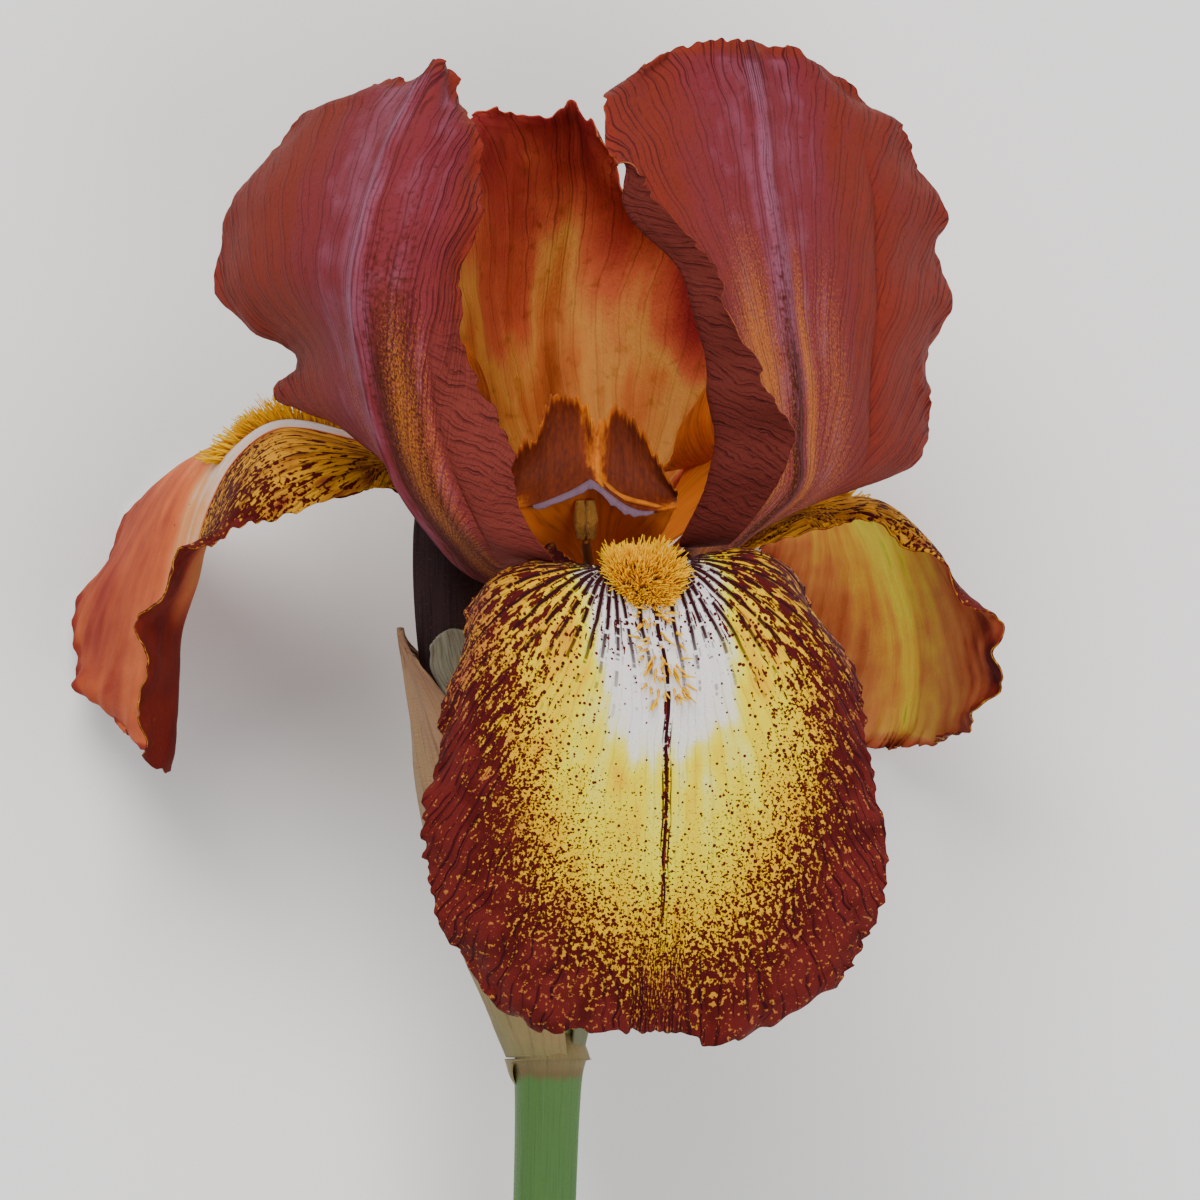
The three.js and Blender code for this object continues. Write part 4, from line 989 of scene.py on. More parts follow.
def left_trim(p):
    """Curled front strip and golden bands of the left standard's outside."""
    crease = p.a[:, [int((p.columns + 1) * 0.8)]]
    strip = smoothstep(p.a, crease - 0.4, crease + 0.4) * (1 - smoothstep(p.v, 0.5, 0.62))
    low = 1 - smoothstep(p.v, 0.45, 0.7)
    gold = (0.7 * band(p.a, 4.9, 2.1) + 0.45 * band(p.a, 8.4, 1.3) + 0.3 * band(p.a, -4, 3)) * low
    return stack(strip, gold, 1)


def right_trim(p):
    """Golden bands either side of the right standard's midrib stripe."""
    low = 1 - smoothstep(p.v, 0.5, 0.82)
    gold = (band(p.a, -6, 4.4) + 0.8 * band(p.a, 3, 1.2) + 0.5 * band(p.a, 8, 4)) * low
    return stack(0, gold, 1)


def rolled_trim(p):
    """Inside of the right standard where its front margin rolls out."""
    return stack(1 - smoothstep(p.u, 0.2, 0.26), 0 * p.u, 1)


def inner_zone(p):
    """Inside of a standard: a brown midrib, amber low down with painted glow, red towards the top.
    """
    far = np.abs(p.a)
    place = 0.1 + 0.22 * smoothstep(far, 0.3, 3) + 0.5 * smoothstep(p.v, 0.52, 0.92)
    place = place + 0.12 * band(far, 7, 2) * (1 - smoothstep(p.v, 0.6, 0.8))
    place = np.maximum(place, 0.85 * (1 - smoothstep(p.margin, 0, 3.5)))
    return stack(place, -0.3, 0.2 + 0.4 * smoothstep(p.v, 0.5, 0.9))


def back_zone(p):
    """Inside of the back standard: gold bands spread from a brown midrib to a red top."""
    x, y = p.points[..., 0], p.points[..., 1]
    turned = np.arctan2(p.a, np.maximum(p.b - 6, 1))
    drift = 0.05 * lattice_noise(p.a / 3, p.b / 9, 23)
    bands = band(turned + drift, -0.28, 0.12) + band(turned + drift, 0.14, 0.13) + band(
        turned + drift, 0.42, 0.08)
    low = smoothstep(p.v, 0.14, 0.4)
    place = 0.16 + 0.16 * low + 0.17 * np.minimum(bands, 1) * smoothstep(p.v, 0.2, 0.4)
    place = place - 0.1 * band(turned, -0.04, 0.07)
    top = smoothstep(p.v + 0.12 * lattice_noise(p.a / 6, p.b / 12, 29), 0.4, 0.94)
    place = place * (1 - top) + 0.94 * top
    # Painted shade: the right side, where the petal folds back, is painted a darker red-brown.
    fold_shade = smoothstep(x, 0, 9) * smoothstep(y, 18, 36)
    place = np.maximum(place, 0.72 * fold_shade + 0.3 * smoothstep(x, 8, 12) * fold_shade)
    place = np.maximum(place, 0.9 * (1 - smoothstep(p.margin, 0, 3)))
    return stack(place, -0.3, 0.2 + 0.4 * smoothstep(p.v, 0.5, 0.9))


fall_upper = petal_material(
    "fall_upper", FALL_GROUND, FALL_MARKS, FALL_VEIN, dots=3.0, bold_reach=30.0, dashes=0.9,
    flow=1.1, fine_veins=0.9, vein_width=0.19, levels=(0.8, 0.4), dot_pitch=1.5,
)
left_upper = petal_material(
    "fall_side_upper", LEFT_GROUND, FALL_MARKS, (70, 14, 18), dots=1.6, flow=0.4,
    glow_share=0.35,
)
fall_under = petal_material(
    "fall_underside", UNDER_GROUND, UNDER_MARKS, (120, 70, 20), dots=0.5, softness=0.2,
    glow_share=0.4, shimmer=0.06, levels=(0.9, 0.6), flow=0.7,
)
standard_outer = petal_material(
    "standard_outer", STANDARD_GROUND, STANDARD_MARKS, (74, 20, 26), dots=1.4, softness=0.2,
    gold=GOLD, strip=STRIP, fine_veins=0.9, glow_share=0.2, flow=0.35,
)
standard_inner = petal_material(
    "standard_inner", INSIDE_GROUND, INSIDE_MARKS, (110, 40, 14), dots=0.5, softness=0.2,
    strip=STRIP, glow_share=0.5, fine_veins=0.4, flow=0.8,
)
back_inner = petal_material(
    "standard_back_inner", BACK_GROUND, INSIDE_MARKS, (92, 30, 12), dots=0.5, softness=0.2,
    glow_share=0.45, fine_veins=0.5, flow=0.3,
)

# Per petal: its upper and lower face's material, zone map and trim map, and its slot.
PETAL_LOOKS = {
    "fall_front": (fall_upper, fall_under, front_zone, under_zone, front_trim, no_trim, "fall"),
    "fall_left": (left_upper, fall_under, left_zone, left_under_zone, no_trim, calm_trim, "fall"),
    "fall_right": (left_upper, fall_under, left_zone, under_zone, no_trim, no_trim, "fall"),
    "standard_left": (standard_inner, standard_outer, inner_zone, left_outer_zone,
                      no_trim, left_trim, "standard"),
    "standard_right": (standard_inner, standard_outer, inner_zone, outer_zone,
                       rolled_trim, right_trim, "standard"),
    "standard_back": (back_inner, standard_outer, back_zone, outer_zone,
                      no_trim, right_trim, "standard"),
}

petals = {}
for name, (upper, lower, *maps, slot) in PETAL_LOOKS.items():
    petal = Petal(name)
    petal.build(upper, lower, *[one(petal) for one in maps], slot)
    petals[name] = petal

# ---------------------------------------------------------------- limbs

LEAST_RADIUS = 0.1


def limb(path, radii, sides, steps, surface_wave=None):
    """A round limb along a path with closed ends: points, faces, turns and lengths."""
    shares = np.linspace(0, 1, steps + 1)
    centres = curve(path, shares)
    sizes = np.maximum(curve(radii, shares), LEAST_RADIUS)
    direction = unit(np.gradient(centres, axis=0))
    first = unit(np.cross(np.array([0.0, 0.0, 1.0]), direction))
    second = np.cross(direction, first)
    around = np.linspace(0, 2 * np.pi, sides, endpoint=False)
    turns, lengths = np.meshgrid(around, np.concatenate(
        [[0], np.cumsum(np.linalg.norm(np.diff(centres, axis=0), axis=1))],
    ))
    size = np.repeat(sizes[:, None], sides, axis=1)
    if surface_wave is not None:
        size = size + surface_wave(turns, lengths / lengths.max())
    points = (
        centres[:, None, :]
        + first[:, None, :] * (size * np.cos(turns))[..., None]
        + second[:, None, :] * (size * np.sin(turns))[..., None]
    ).reshape(-1, 3)
    j, i = np.meshgrid(np.arange(steps), np.arange(sides), indexing="ij")
    a = (j * sides + i).ravel()
    b = (j * sides + (i + 1) % sides).ravel()
    faces = np.stack([a, b, b + sides, a + sides], axis=1).tolist()
    faces.append(list(range(sides - 1, -1, -1)))
    faces.append([steps * sides + k for k in range(sides)])
    return points, faces, turns.ravel(), lengths.ravel()


def join_parts(parts):
    """One mesh from several: each part is points, faces and a zone map."""
    faces, start = [], 0
    for points, some_faces, _ in parts:
        faces += [[k + start for k in face] for face in some_faces]
        start += len(points)
    points, _, zones = zip(*parts)
    return np.concatenate(points), faces, np.concatenate(zones)


def add_zoned(name, parts, node, slot, material):
    """One piece from parts that carry zone maps."""
    points, faces, zone = join_parts(parts)
    piece = make_object(name, points, faces, node, slot, material)
    set_vector(piece, "zone", zone)


def sheet_part(middle, thickness, *zone):
    """A thin sheet with its zone map on both faces: points, faces and zone."""
    points, faces = shell(middle, grid_normals(middle), thickness)
    zone = stack(*zone).reshape(-1, 3)
    return points, faces, np.concatenate([zone, zone])


def plant_material(name, ground, streak_colour, share, streaks=5.0, roughness=0.5, sheen=0.1,
                   spot_colour=None, glow_share=0.0, bump_depth=0.0003, specular=0.25, drift=0.4):
    """Stem, bud and bract surfaces: fine lengthwise streaks over a slow change of colour.

    The zone map gives turns round, millimetres along and the place on the ground scale.
    """
    s = Shader(name)
    around, along, place = s.attribute("zone")
    thin = s.join(s.times(around, streaks), s.times(along, 0.05))
    lines = s.noise(thin, 1.6, 3.0, 0.6)
    broad = s.noise(s.join(around, s.times(along, 0.12)), 1.3, 2.0)
    shifted = s.times_plus(s.minus(broad, 0.5), drift, place)
    base = s.ramp(shifted, ground)
    streaked = s.mix(s.span(lines, 0.5, 0.68, 0.0, share), base, streak_colour)
    if spot_colour:
        spots = s.noise(s.join(around, s.times(along, 0.5)), 5.0, 2.0)
        streaked = s.mix(s.span(spots, 0.62, 0.7, 0.0, 0.7), streaked, spot_colour)
    grain = s.noise(s.join(s.times(around, 3.0), along), 4.0, 3.0)
    height = s.times_plus(lines, 1.5, grain)
    normal = s.bump(height, 0.5, bump_depth)
    rough = s.span(grain, 0.3, 0.7, roughness - 0.08, roughness + 0.08)
    return s.finish(streaked, rough, normal, sheen, glow_share=glow_share, specular=specular)


# Stem with a swollen node, the ovary with its tube, and the closed bud beside it.
STEM_TOP_Y = -57.5
STEM_END_Y = -155
STEM_RADIUS = 3.9
NODE_RADIUS = 5.5
SEAT_GAP = 0.3
TUBE_TOP_Y = -3.9
STEM_PATH = [
    (-8.6, STEM_END_Y, -9), (-8.2, -120, -8.4), (-7.2, -85, -7.2), (-6.5, -61, -6),
    (-6.5, STEM_TOP_Y, -6),
]
STEM_RADII = [STEM_RADIUS, STEM_RADIUS, STEM_RADIUS, STEM_RADIUS + 0.3, NODE_RADIUS]
OVARY_PATH = [
    (-5, STEM_TOP_Y + SEAT_GAP, -5.6), (-5.4, -45, -5), (-3.6, -30, -3.6), (-1.2, -16, -1.4),
    (0, -7.5, 0), (0, TUBE_TOP_Y, 0),
]
OVARY_RADII = [1.7, 3.7, 3.4, 2.9, 3.6, 6]
BUD_PATH = [
    (-9.4, STEM_TOP_Y + SEAT_GAP, -5.6), (-9.6, -54.5, -5.5), (-13, -43, -3), (-16, -25, 0.5),
    (-17.6, -8, 2.8), (-18, 6, 3.6), (-18, 14, 3.8), (-17.9, 19.5, 4),
]
BUD_RADII = [1.4, 1.7, 2.6, 3.8, 4.9, 5.2, 4.1, 0.5]

stem_look = plant_material(
    "stem_skin", [(0.0, (72, 116, 54)), (0.6, (64, 106, 48)), (0.972, (76, 112, 54)),
                  (0.982, (104, 84, 50)), (1.0, (128, 112, 72))], (48, 84, 40), share=0.35,
    sheen=0.0, drift=0.02,
)
ovary_look = plant_material(
    "ovary_skin", [(0.0, (112, 140, 84)), (0.6, (140, 150, 96)), (1.0, (150, 120, 70))],
    (92, 112, 70), share=0.4,
)
bud_look = plant_material(
    "bud_skin", [(0.0, (76, 66, 46)), (0.3, (56, 40, 36)), (1.0, (44, 24, 28))], (24, 12, 16),
    streaks=7, share=0.8, roughness=0.7, sheen=0.0, spot_colour=(62, 46, 40), specular=0.1,
)


def add_limb(name, node, slot, material, path, radii, sides, steps, wave=None):
    """A piece of one limb, with its ground colours from its first end to its last."""
    points, faces, turns, lengths = limb(path, radii, sides, steps, wave)
    zone = stack(np.cos(turns) * 2, lengths, lengths / lengths.max())
    add_zoned(name, [(points, faces, zone)], node, slot, material)


def stem_wave(turns, share):
    """Fine ribs that fade out at the node."""
    ribs = 0.022 * np.cos(9 * turns) + 0.006 * np.cos(17 * turns + 1)
    return ribs * (1 - smoothstep(share, 0.985, 1.0))


def ovary_wave(turns, share):
    """Three lobes, as the ovary has."""
    return 0.28 * np.cos(3 * turns) * np.sin(np.pi * np.clip(share * 1.15, 0, 1))


def bud_wave(turns, share):
    """Rolled petal edges wind round the bud."""
    wound = np.cos(3 * (turns - 2.2 * share))
    return 0.22 * np.sign(wound) * np.abs(wound) ** 0.5 * smoothstep(share, 0.25, 0.5) * (
        1 - smoothstep(share, 0.92, 1.0))


add_limb("stem_rod", "stem", "stem", stem_look, STEM_PATH, STEM_RADII, 72, 220, stem_wave)
add_limb("ovary", "ovary_tube", "ovary", ovary_look, OVARY_PATH, OVARY_RADII, 60, 120,
         ovary_wave)
add_limb("bud_body", "bud", "bud", bud_look, BUD_PATH, BUD_RADII, 96, 160, bud_wave)

# ---------------------------------------------------------------- bracts

# Spathe valves round ovary and bud: per station the centre, the half widths to the side
# and towards the face, and the span from one margin to the other, in degrees from +X.
BRACT_OUTER = [
    ((-6.6, STEM_TOP_Y + SEAT_GAP, -6), (5, 5), (60, 300)),
    ((-8, -50, -5), (6.6, 6), (62, 298)),
    ((-10, -38, -3.4), (9.4, 7.4), (70, 290)),
    ((-13.4, -24, -0.6), (9.4, 7.4), (86, 280)),
    ((-16.6, -11, 2), (7.4, 7), (117, 262)),
    ((-18, -3.4, 3), (6.9, 6.8), (168, 196)),
]
BRACT_INNER = [
    ((-6.6, STEM_TOP_Y + SEAT_GAP, -6), (4.3, 4), (-46, 46)),
    ((-7.4, -50, -5.2), (6.6, 5.2), (-44, 50)),
    ((-9, -38, -3.6), (10.6, 6.9), (-22, 60)),
    ((-12.4, -24, -0.8), (12.4, 7.6), (28, 80)),
    ((-16, -11, 2), (7, 6.3), (44, 124)),
    ((-17.8, -3.6, 3.2), (6.4, 6.3), (66, 122)),
]
BRACT_CELLS = (90, 150)
BRACT_DIP = 2.2
BRACT_RIBS = 22

bract_look = plant_material(
    "bract_paper", [(0.0, (138, 138, 84)), (0.3, (172, 144, 98)), (0.7, (182, 142, 104)),
                    (1.0, (152, 108, 80))], (128, 90, 66), streaks=9, share=0.6,
    roughness=0.7, sheen=0.15, spot_colour=(170, 110, 96), glow_share=0.3, bump_depth=0.0005,
)
bract_thin_look = plant_material(
    "bract_film", [(0.0, (138, 146, 100)), (0.5, (148, 144, 116)), (1.0, (168, 160, 140))],
    (116, 104, 84), streaks=10, share=0.5, roughness=0.5, glow_share=0.45, bump_depth=0.0004,
)


def bract(name, node, slot, material, stations, thickness, seed):
    """A papery valve over its stations, folded and finely ribbed above its seat."""
    net = []
    for row_number, (centre, halves, span) in enumerate(stations):
        dip = BRACT_DIP if row_number == len(stations) - 1 else 0
        middle, reach = (span[0] + span[1]) / 2, (span[1] - span[0]) / 2
        row = []
        for share in ACROSS:
            angle = math.radians(middle + reach * share)
            row.append((
                centre[0] + halves[0] * math.cos(angle), centre[1] - dip * share ** 2,
                centre[2] + halves[1] * math.sin(angle),
            ))
        net.append(row)
    middle, u, v = grid_surface(net, BRACT_CELLS)
    edge = np.abs(2 * u - 1)
    folds = 0.3 * lattice_noise(u * 14, v * 4, seed)
    folds = folds + 0.12 * lattice_noise(u * 30, v * 14, seed + 2)
    folds = folds + 0.5 * edge ** 4 * lattice_noise(u * 0 + 3, v * 16, seed + 1)
    ribs = 0.05 * np.cos(2 * np.pi * BRACT_RIBS * u)
    above = smoothstep(v, 0.06, 0.2)
    middle = middle + grid_normals(middle) * (above * (folds + ribs))[..., None]
    part = sheet_part(middle, thickness, u * 3, v * 60, v * 0.8 + 0.2 * edge)
    add_zoned(name, [part], node, slot, material)


bract("bract_outer_valve", "bract_outer", "bract", bract_look, BRACT_OUTER,
      thickness=0.45, seed=31)
bract("bract_inner_valve", "bract_inner", "bract_thin", bract_thin_look, BRACT_INNER,
      thickness=0.4, seed=47)

# ---------------------------------------------------------------- style and stamens

# Per arm: direction, climb, breadth, how much of the droop it has and how much painted shade its
# crest has.
STYLE_ARMS = {
    "front": (-2, 0, 1, 1, 1),
    "left": (-112, 0.45, 0.85, 0.55, 0.5),
    "right": (126, 0.25, 0.98, 0.55, 0.4),
}
COLUMN_PATH = [(0, CLAW_BASE_Y - 0.1, 0), (0, -1, 0), (0, 2, 0)]
COLUMN_RADIUS = 2
# Arm stations: radius, height, half width, how far the edges droop and in what curve.
ARM = [
    (0.6, -2.6, 1.3, 0, 2), (3.6, 2.6, 2, 0.3, 2), (7.6, 7.2, 3.8, 1.6, 2),
    (12.4, 10.8, 5.8, 4.4, 2), (17.6, 13.7, 8.2, 5.6, 1.5), (20.3, 14.8, 9.9, 3.6, 0.6),
]
ARM_CELLS = (60, 70)
ARM_TIP_HEIGHT = 14.8
ARM_EDGE = 0.35
ARM_KEEL = 0.5
# Crest outline across: offset, foot height and top height.
CREST = [
    (-10.6, 11.4, 16.2), (-8.9, 11.5, 19.2), (-6.9, 11.9, 21), (-5.6, 12.3, 24.6),
    (-3.6, 13.1, 25.4), (-1.6, 14, 24.4), (0.2, 14.7, 21.8), (1.6, 13.2, 22.4), (3, 12.2, 24.2),
    (4.8, 11.2, 22.4), (6.4, 10.9, 20.6), (8.2, 11.1, 17), (10.1, 11.5, 13.6),
]
CREST_RISE = (0, 0.12, 0.3, 0.55, 0.8, 1)
CREST_RADIUS = 18.2
CREST_FLARE = 2.4
CREST_HOLLOW = 1.7
CREST_CURL = 0.9
CREST_CELLS = (200, 60)
CREST_FOOT = 0.5
CREST_THINNING = 0.28
CREST_TEAR_LIMIT = 0.8
VALLEY_AT = 0.2
VALLEY_HALF = 1.7


def arm_point(arm, across, height, radius):
    """A point of a style arm from its place across, its height and its radius."""
    azimuth, climb, breadth = arm[:3]
    angle = math.radians(azimuth)
    side = across * breadth
    return (
        radius * math.sin(angle) + side * math.cos(angle),
        height + climb * max(radius - CLAW_RADIUS, 0),
        radius * math.cos(angle) - side * math.sin(angle),
    )


def style_arm(arm):
    """The arched strap of an arm, with drooping edges."""
    net = [
        [
            arm_point(arm, share * half, height - arm[3] * droop * abs(share) ** bend, radius)
            for share in ACROSS
        ]
        for radius, height, half, droop, bend in ARM
    ]
    middle, u, v = grid_surface(net, ARM_CELLS)
    relief = 0.12 * lattice_noise(u * 12, v * 4, 61)
    middle = middle + grid_normals(middle) * relief[..., None]
    thickness = ARM_EDGE + ARM_KEEL * (1 - np.abs(2 * u - 1))
    # The arm takes the amber end of the style colours, brightened as painted glow.
    return sheet_part(middle, thickness, u * 12, v * 24, 0.1 + 0.2 * v)


def tip_height(arm, height):
    """A height at the arm's tip, nearer the middle where the arm droops less."""
    return ARM_TIP_HEIGHT + (height - ARM_TIP_HEIGHT) * arm[3]


def style_crest(arm, seed):
    """The upright two-lobed crest, with a torn and crinkled top."""
    net = []
    for rise in CREST_RISE:
        row = []
        for across, foot, top in CREST:
            lobe = 1 - band(across, VALLEY_AT, VALLEY_HALF)
            ahead = (
                CREST_FLARE * (1 - rise) ** 2.2 - CREST_HOLLOW * math.sin(math.pi * rise) * lobe
                + CREST_CURL * rise ** 3
            )
            root = tip_height(arm, foot)
            row.append(arm_point(arm, across, root + (top - root) * rise, CREST_RADIUS + ahead))
        net.append(row)
    middle, u, v = grid_surface(net, CREST_CELLS)
    normals = grid_normals(middle)
    up = unit(np.gradient(middle, axis=0))
    ragged = 0.6 * lattice_noise(u * 26, u * 0 + 2.2, seed)
    ragged = ragged + 1.1 * lattice_noise(u * 96, u * 0 + 5.1, seed + 1)
    ragged = np.minimum(ragged, CREST_TEAR_LIMIT)
    middle = middle + up * (ragged * v ** 3)[..., None]
    waves = 0.5 * v ** 1.5 * lattice_noise(u * 14, v * 1.5, seed + 2)
    ribs = 0.12 * lattice_noise(u * 55, v * 1.2, seed + 3)
    middle = middle + normals * (waves + ribs * v)[..., None]
    across = np.interp(u, np.linspace(0, 1, len(CREST)), [station[0] for station in CREST])
    # Painted glow: the flared lower corners and the middle valley are painted bright amber.
    corner = smoothstep(np.abs(across), 6.5, 10) * (1 - smoothstep(v, 0.1, 0.5))
    blotch = 0.5 + 0.9 * lattice_noise(u * 24, v * 4, seed + 4)
    wander = 0.6 * lattice_noise(u * 0, v * 5, seed + 5)
    valley_glow = band(across + wander, VALLEY_AT, 0.5 + 1.6 * v)
    painted_glow = np.maximum(valley_glow * np.clip(1.2 - v * blotch, 0.2, 1), corner)
    rim = smoothstep(v, 0.88, 0.98)
    mottle = lattice_noise(u * 60, v * 16, seed + 6) + lattice_noise(u * 120, v * 30, seed + 7)
    # The hollow lobes are brown, partly their own colour and partly painted shade; the paler rim is
    # the crest's own dried edge.
    place = (0.86 - 0.65 * painted_glow + 0.1 * mottle) * (1 - 0.5 * rim) * arm[4]
    return sheet_part(middle, CREST_FOOT - CREST_THINNING * v, u * 30, v * 10, place)


# The stigma: a thin lip along the crest's foot, as across and height.
LIP = [
    (-7.6, 11.7), (-5.8, 12.2), (-2.8, 13.4), (-0.9, 14.5), (-0.4, 14.7), (0.4, 14.2),
    (2.1, 12.8), (4, 11.5), (5.9, 10.9), (7.4, 11),
]
LIP_RADIUS = 20.6
LIP_BOW = 0.012
LIP_CELLS = (120, 16)
LIP_THICKNESS = 0.25
# Rows of the lip from its root to its edge: how far ahead and how far down.
LIP_ROWS = ((-0.5, -0.1), (0.3, 0.1), (0.8, -0.25), (0.85, -0.9))


def stigma_lip(arm, seed):
    """The lip, with a ragged edge."""
    net = [
        [
            arm_point(arm, across, tip_height(arm, height) + drop,
                      LIP_RADIUS + ahead - LIP_BOW * across ** 2)
            for across, height in LIP
        ]
        for ahead, drop in LIP_ROWS
    ]
    middle, u, v = grid_surface(net, LIP_CELLS)
    down = unit(np.gradient(middle, axis=0))
    ragged = 0.35 * lattice_noise(u * 30, u * 0 + 1.4, seed) - 0.6 * np.abs(2 * u - 1) ** 3
    middle = middle + down * (ragged * v ** 3)[..., None]
    return sheet_part(middle, LIP_THICKNESS, u * 20, v * 4, v * 0 + 0.2)


# The amber end is the style's own colour made brighter as painted glow of light through it; the
# brown end is partly painted shade on the crest lobes.
style_look = plant_material(
    "style_skin", [(0.0, (244, 156, 24)), (0.3, (226, 128, 24)), (0.6, (150, 62, 20)),
                   (1.0, (106, 38, 18))], (104, 44, 16), streaks=1.0, share=0.35,
    roughness=0.5, sheen=0.03, glow_share=0.45,
)
lip_look = plant_material(
    "stigma_skin", [(0.0, (122, 94, 112)), (0.5, (112, 84, 102)), (1.0, (104, 76, 90))],
    (82, 58, 74), streaks=1.0, share=0.3, roughness=0.45, glow_share=0.2,
)


def add_style():
    """The column with its three arms and crests, and the lips as a piece of their own."""
    points, faces, turns, lengths = limb(COLUMN_PATH, [COLUMN_RADIUS] * 3, 32, 12)
    parts = [(points, faces, stack(turns, lengths, 0))]
    lips = []
    for seed, arm in zip((70, 80, 90), STYLE_ARMS.values()):
        parts += [style_arm(arm), style_crest(arm, seed)]
        lips.append(stigma_lip(arm, seed + 5))
    add_zoned("style_arms", parts, "style", "style", style_look)
    add_zoned("stigma_lips", lips, "style", "style", lip_look)


add_style()

FILAMENT = [(3.5, -3.6), (5.4, 0.4), (9.2, 3.9), (13.2, 6.4), (15.4, 7.5)]
FILAMENT_RADII = [0.6, 0.6, 0.6, 0.55, 0.5]
ANTHER = [(15.8, 7.6), (16.8, 10), (17.6, 12.4)]
ANTHER_RADII = [0.5, 0.85, 0.5]
STAMEN_OFFSET = -1.2
STAMEN_ASIDE_RADIUS = 11
ANTHER_HALF_GAP = 0.65

filament_look = plant_material(
    "filament_skin", [(0.0, (206, 140, 30)), (1.0, (176, 108, 40))], (150, 90, 30), share=0.3,
    roughness=0.4,
)
anther_look = plant_material(
    "anther_pollen", [(0.0, (168, 108, 34)), (1.0, (196, 140, 60))], (120, 74, 30), share=0.5,
    roughness=0.85, spot_colour=(220, 180, 96), bump_depth=0.0006,
)


def anther_wave(turns, share):
    """Grains over an anther lobe, with a groove down one side."""
    return 0.1 * lattice_noise(turns * 3, share * 14, 91) - 0.16 * band(turns, 1.57, 0.3)


def add_stamens():
    """Under each arm a filament with an anther of two lobes."""
    for side, arm in STYLE_ARMS.items():

        def place(radius, height, across):
            grown = smoothstep(radius, FILAMENT[0][0], STAMEN_ASIDE_RADIUS)
            return arm_point(arm, STAMEN_OFFSET * float(grown) + across, height, radius)

        path = [place(radius, height, 0) for radius, height in FILAMENT]
        add_limb(f"filament_{side}_rod", f"filament_{side}", "filament", filament_look, path,
                 FILAMENT_RADII, 20, 40)
        parts = []
        for across in (-ANTHER_HALF_GAP, ANTHER_HALF_GAP):
            path = [place(radius, height, across) for radius, height in ANTHER]
            points, faces, turns, lengths = limb(path, ANTHER_RADII, 28, 40, anther_wave)
            parts.append((points, faces, stack(turns, lengths, lengths / 6)))
        add_zoned(f"anther_{side}_lobes", parts, f"anther_{side}", "anther", anther_look)


add_stamens()

# ---------------------------------------------------------------- beards

# A beard: many fine hairs along the fall's midrib. Per beard: the number of hairs, their
# length in millimetres, where it starts, thins out and ends as shares along the fall, its
# middle and half width as shares across it, and the lean to the side.
BEARDS = {
    "front": (2400, 3.4, 0.31, 0.485, 0.62, 0.5, 0.066, 0.0),
    "left": (1900, 3.6, 0.22, 0.47, 0.52, 0.565, 0.05, 0.5),
    "right": (900, 2.6, 0.26, 0.42, 0.46, 0.5, 0.06, 0.0),
}
BEARD_THIN_SHARE = 0.035
BEARD_LEAN = 0.5
BEARD_SPREAD = 0.6
HAIR_RADIUS = 0.15
HAIR_SUNK = 0.1
HAIR_TAPER = 0.62
HAIR_STATIONS = 4
HAIR_SIDES = 3

beard_look = plant_material(
    "beard_hairs", [(0.0, (200, 116, 0)), (0.35, (240, 166, 0)), (0.75, (250, 188, 0)),
                    (1.0, (255, 204, 0))], (226, 142, 0), share=0.2, roughness=0.6, sheen=0.0,
    glow_share=0.15, bump_depth=0.0001, specular=0.05,
)


def sheet_point(petal, u, v):
    """Places and upper-side normals on a petal, between its grid points."""
    x = np.clip(u, 0, 1) * petal.columns
    y = np.clip(v, 0, 1) * petal.rows
    i = np.minimum(x.astype(int), petal.columns - 1)
    j = np.minimum(y.astype(int), petal.rows - 1)
    s, t = (x - i)[:, None], (y - j)[:, None]

    def blend(field):
        return (
            field[j, i] * (1 - s) * (1 - t) + field[j, i + 1] * s * (1 - t)
            + field[j + 1, i] * (1 - s) * t + field[j + 1, i + 1] * s * t
        )

    return blend(petal.points), unit(blend(petal.normals)) * petal.upper_side


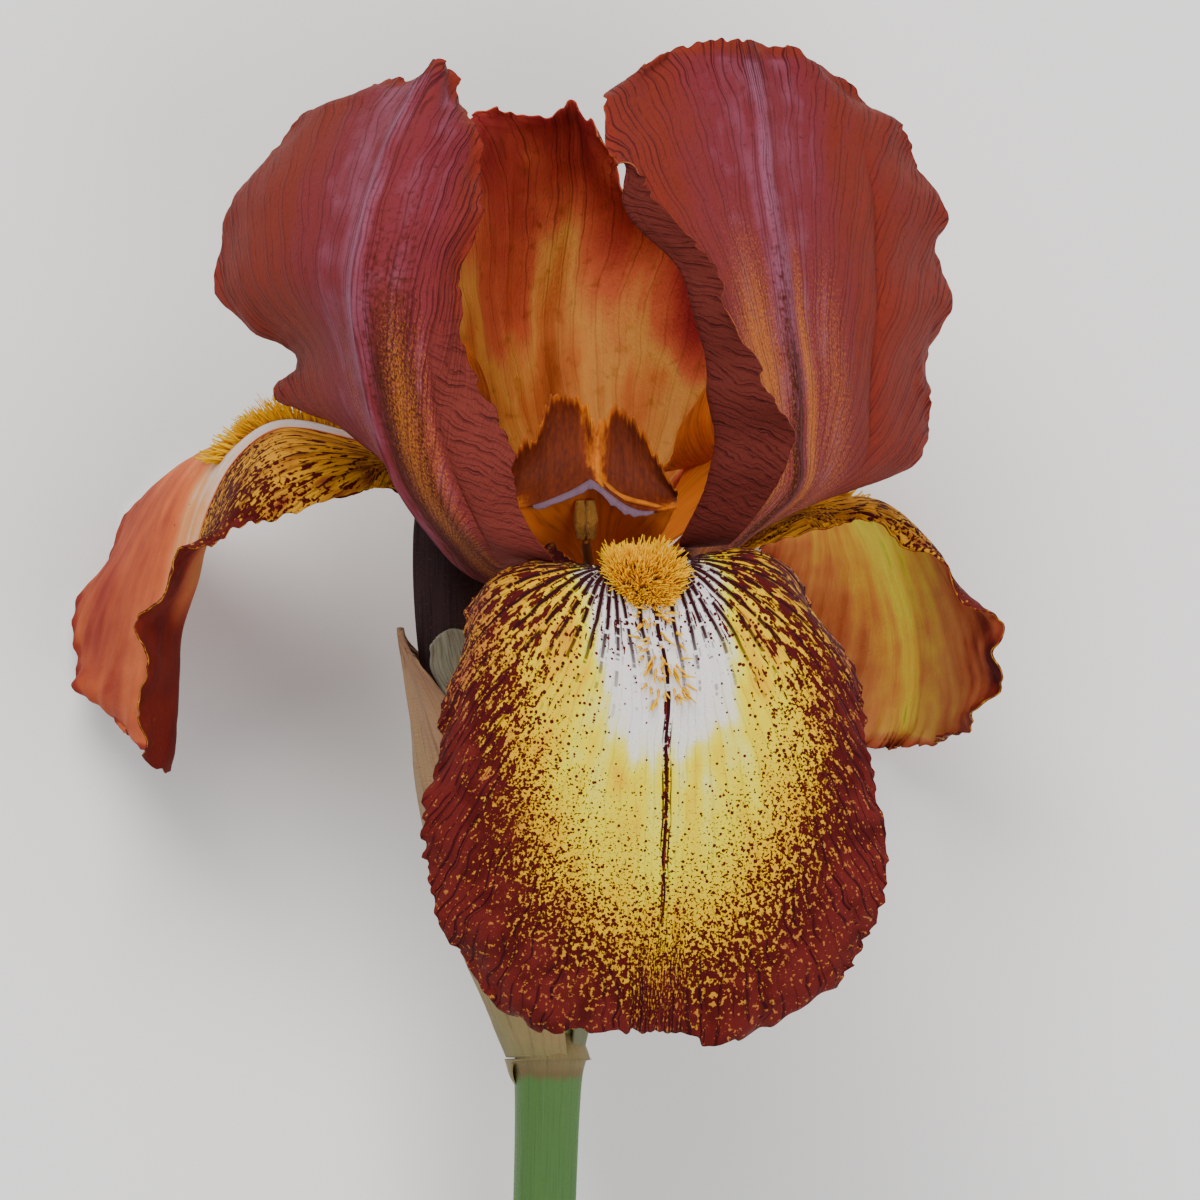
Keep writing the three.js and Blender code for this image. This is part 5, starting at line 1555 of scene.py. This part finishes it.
def beard(side):
    """The hairs of one fall's beard, sparse at its far end."""
    count, length, start, thinning, end, middle, width, tilt = BEARDS[side]
    petal = petals["fall_" + side]
    v = start + (thinning - start) * rng.random(count)
    sparse = rng.random(count) < BEARD_THIN_SHARE
    v = np.where(sparse, thinning + (end - thinning) * rng.random(count), v)
    x = rng.uniform(-1, 1, count)
    ends = np.where(sparse, 0.06, np.minimum(v - start, thinning - v) / (thinning - start))
    half = width * np.minimum(1, 0.35 + 3 * ends)
    u = middle + x * half
    roots, up = sheet_point(petal, u, v)
    ahead, _ = sheet_point(petal, u, v + 0.01)
    aside, _ = sheet_point(petal, u + 0.01, v)
    forward = unit(ahead - roots)
    sideways = unit(aside - roots)
    roots = roots - up * HAIR_SUNK
    reach = length * rng.uniform(0.7, 1.15, count) * np.minimum(1, 0.55 + 2.5 * ends)
    aim = unit(
        up + forward * (BEARD_LEAN * rng.uniform(0.2, 1.6, count))[:, None]
        + sideways * (tilt + BEARD_SPREAD * x * 1.3 + rng.normal(0, 0.22, count))[:, None]
    )
    bend = forward * 0.5 + rng.normal(0, 0.35, (count, 3))
    stations = np.linspace(0, 1, HAIR_STATIONS)
    first = unit(np.cross(aim, sideways + 0.01))
    second = np.cross(aim, first)
    rings = []
    for share in stations:
        centre = roots + aim * (reach * share)[:, None]
        centre = centre + bend * (0.3 * reach * share ** 2.2)[:, None]
        radius = (HAIR_RADIUS * np.where(sparse, 1.7, 1) * (1 - HAIR_TAPER * share))[:, None]
        ring = [
            centre + first * radius * math.cos(angle) + second * radius * math.sin(angle)
            for angle in np.linspace(0, 2 * math.pi, HAIR_SIDES, endpoint=False)
        ]
        rings.append(np.stack(ring, axis=1))
    points = np.stack(rings, axis=1).reshape(-1, 3)
    per_hair = HAIR_STATIONS * HAIR_SIDES
    pattern = []
    for k in range(HAIR_STATIONS - 1):
        for m in range(HAIR_SIDES):
            a, b = k * HAIR_SIDES + m, k * HAIR_SIDES + (m + 1) % HAIR_SIDES
            pattern.append((a, b, b + HAIR_SIDES, a + HAIR_SIDES))
    caps = [range(HAIR_SIDES - 1, -1, -1), range(per_hair - HAIR_SIDES, per_hair)]
    starts = (np.arange(count) * per_hair)[:, None, None]
    quads = (np.array(pattern) + starts).reshape(-1, 4).tolist()
    ends_faces = (np.array(caps) + starts).reshape(-1, HAIR_SIDES).tolist()
    along = np.tile(np.repeat(stations, HAIR_SIDES), count)
    tone = np.repeat(rng.uniform(0, 0.35, count) + 0.4 * sparse, per_hair)
    around = np.repeat(rng.uniform(0, 9, count), per_hair)
    zone = stack(around, along * 4, along * 0.7 + tone)
    part = (points, quads + ends_faces, zone)
    add_zoned(f"beard_{side}_hairs", [part], f"beard_{side}", "beard", beard_look)


for side in BEARDS:
    beard(side)

# ---------------------------------------------------------------- floor and light

FLOOR_TONES = [(0.3, (240, 239, 236)), (0.7, (235, 234, 231))]
FLOOR_SIZE = 6
FLOOR_DROP = 0.0002
WORLD_COLOUR = (232, 236, 240)
WORLD_STRENGTH = 0.68
LIT_PLACE = (0, 0.02, 0.04)


def add_floor():
    """A plain sheet of paper just under the lowest point."""
    s = Shader("floor_paper")
    place = s.node("ShaderNodeTexCoord").outputs["Object"]
    tone = s.noise(place, 3.0, 3.0)
    material = s.finish(s.ramp(tone, FLOOR_TONES), 0.85)
    mesh = bpy.data.meshes.new("floor")
    half = FLOOR_SIZE / 2
    corners = [(-half, -half, 0), (half, -half, 0), (half, half, 0), (-half, half, 0)]
    mesh.from_pydata(corners, [], [(0, 1, 2, 3)])
    mesh.materials.append(material)
    floor = bpy.data.objects.new("floor", mesh)
    floor.location.z = -FLOOR_DROP
    bpy.context.collection.objects.link(floor)
    floor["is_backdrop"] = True


def add_light(name, place, size, power, colour):
    """A round area light turned towards the flower."""
    data = bpy.data.lights.new(name, "AREA")
    data.shape = "DISK"
    data.size = size
    data.energy = power
    data.color = colour
    light = bpy.data.objects.new(name, data)
    light.location = place
    direction = Vector(LIT_PLACE) - Vector(place)
    light.rotation_euler = direction.to_track_quat("-Z", "Y").to_euler()
    bpy.context.collection.objects.link(light)


def add_world():
    """Even light from all round."""
    world = bpy.data.worlds.new("studio")
    world.use_nodes = True
    background = world.node_tree.nodes["Background"]
    background.inputs[0].default_value = linear(WORLD_COLOUR)
    background.inputs[1].default_value = WORLD_STRENGTH
    bpy.context.scene.world = world


add_floor()
add_world()
add_light("sky", (-0.25, 0.75, 1.15), size=0.9, power=18, colour=(1.0, 0.98, 0.95))
add_light("fill", (0.45, -0.45, 1.0), size=0.8, power=9, colour=(0.98, 0.98, 1.0))

plain = [[[float(n) for n in corner] for corner in box] for box in (cad_box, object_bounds())]
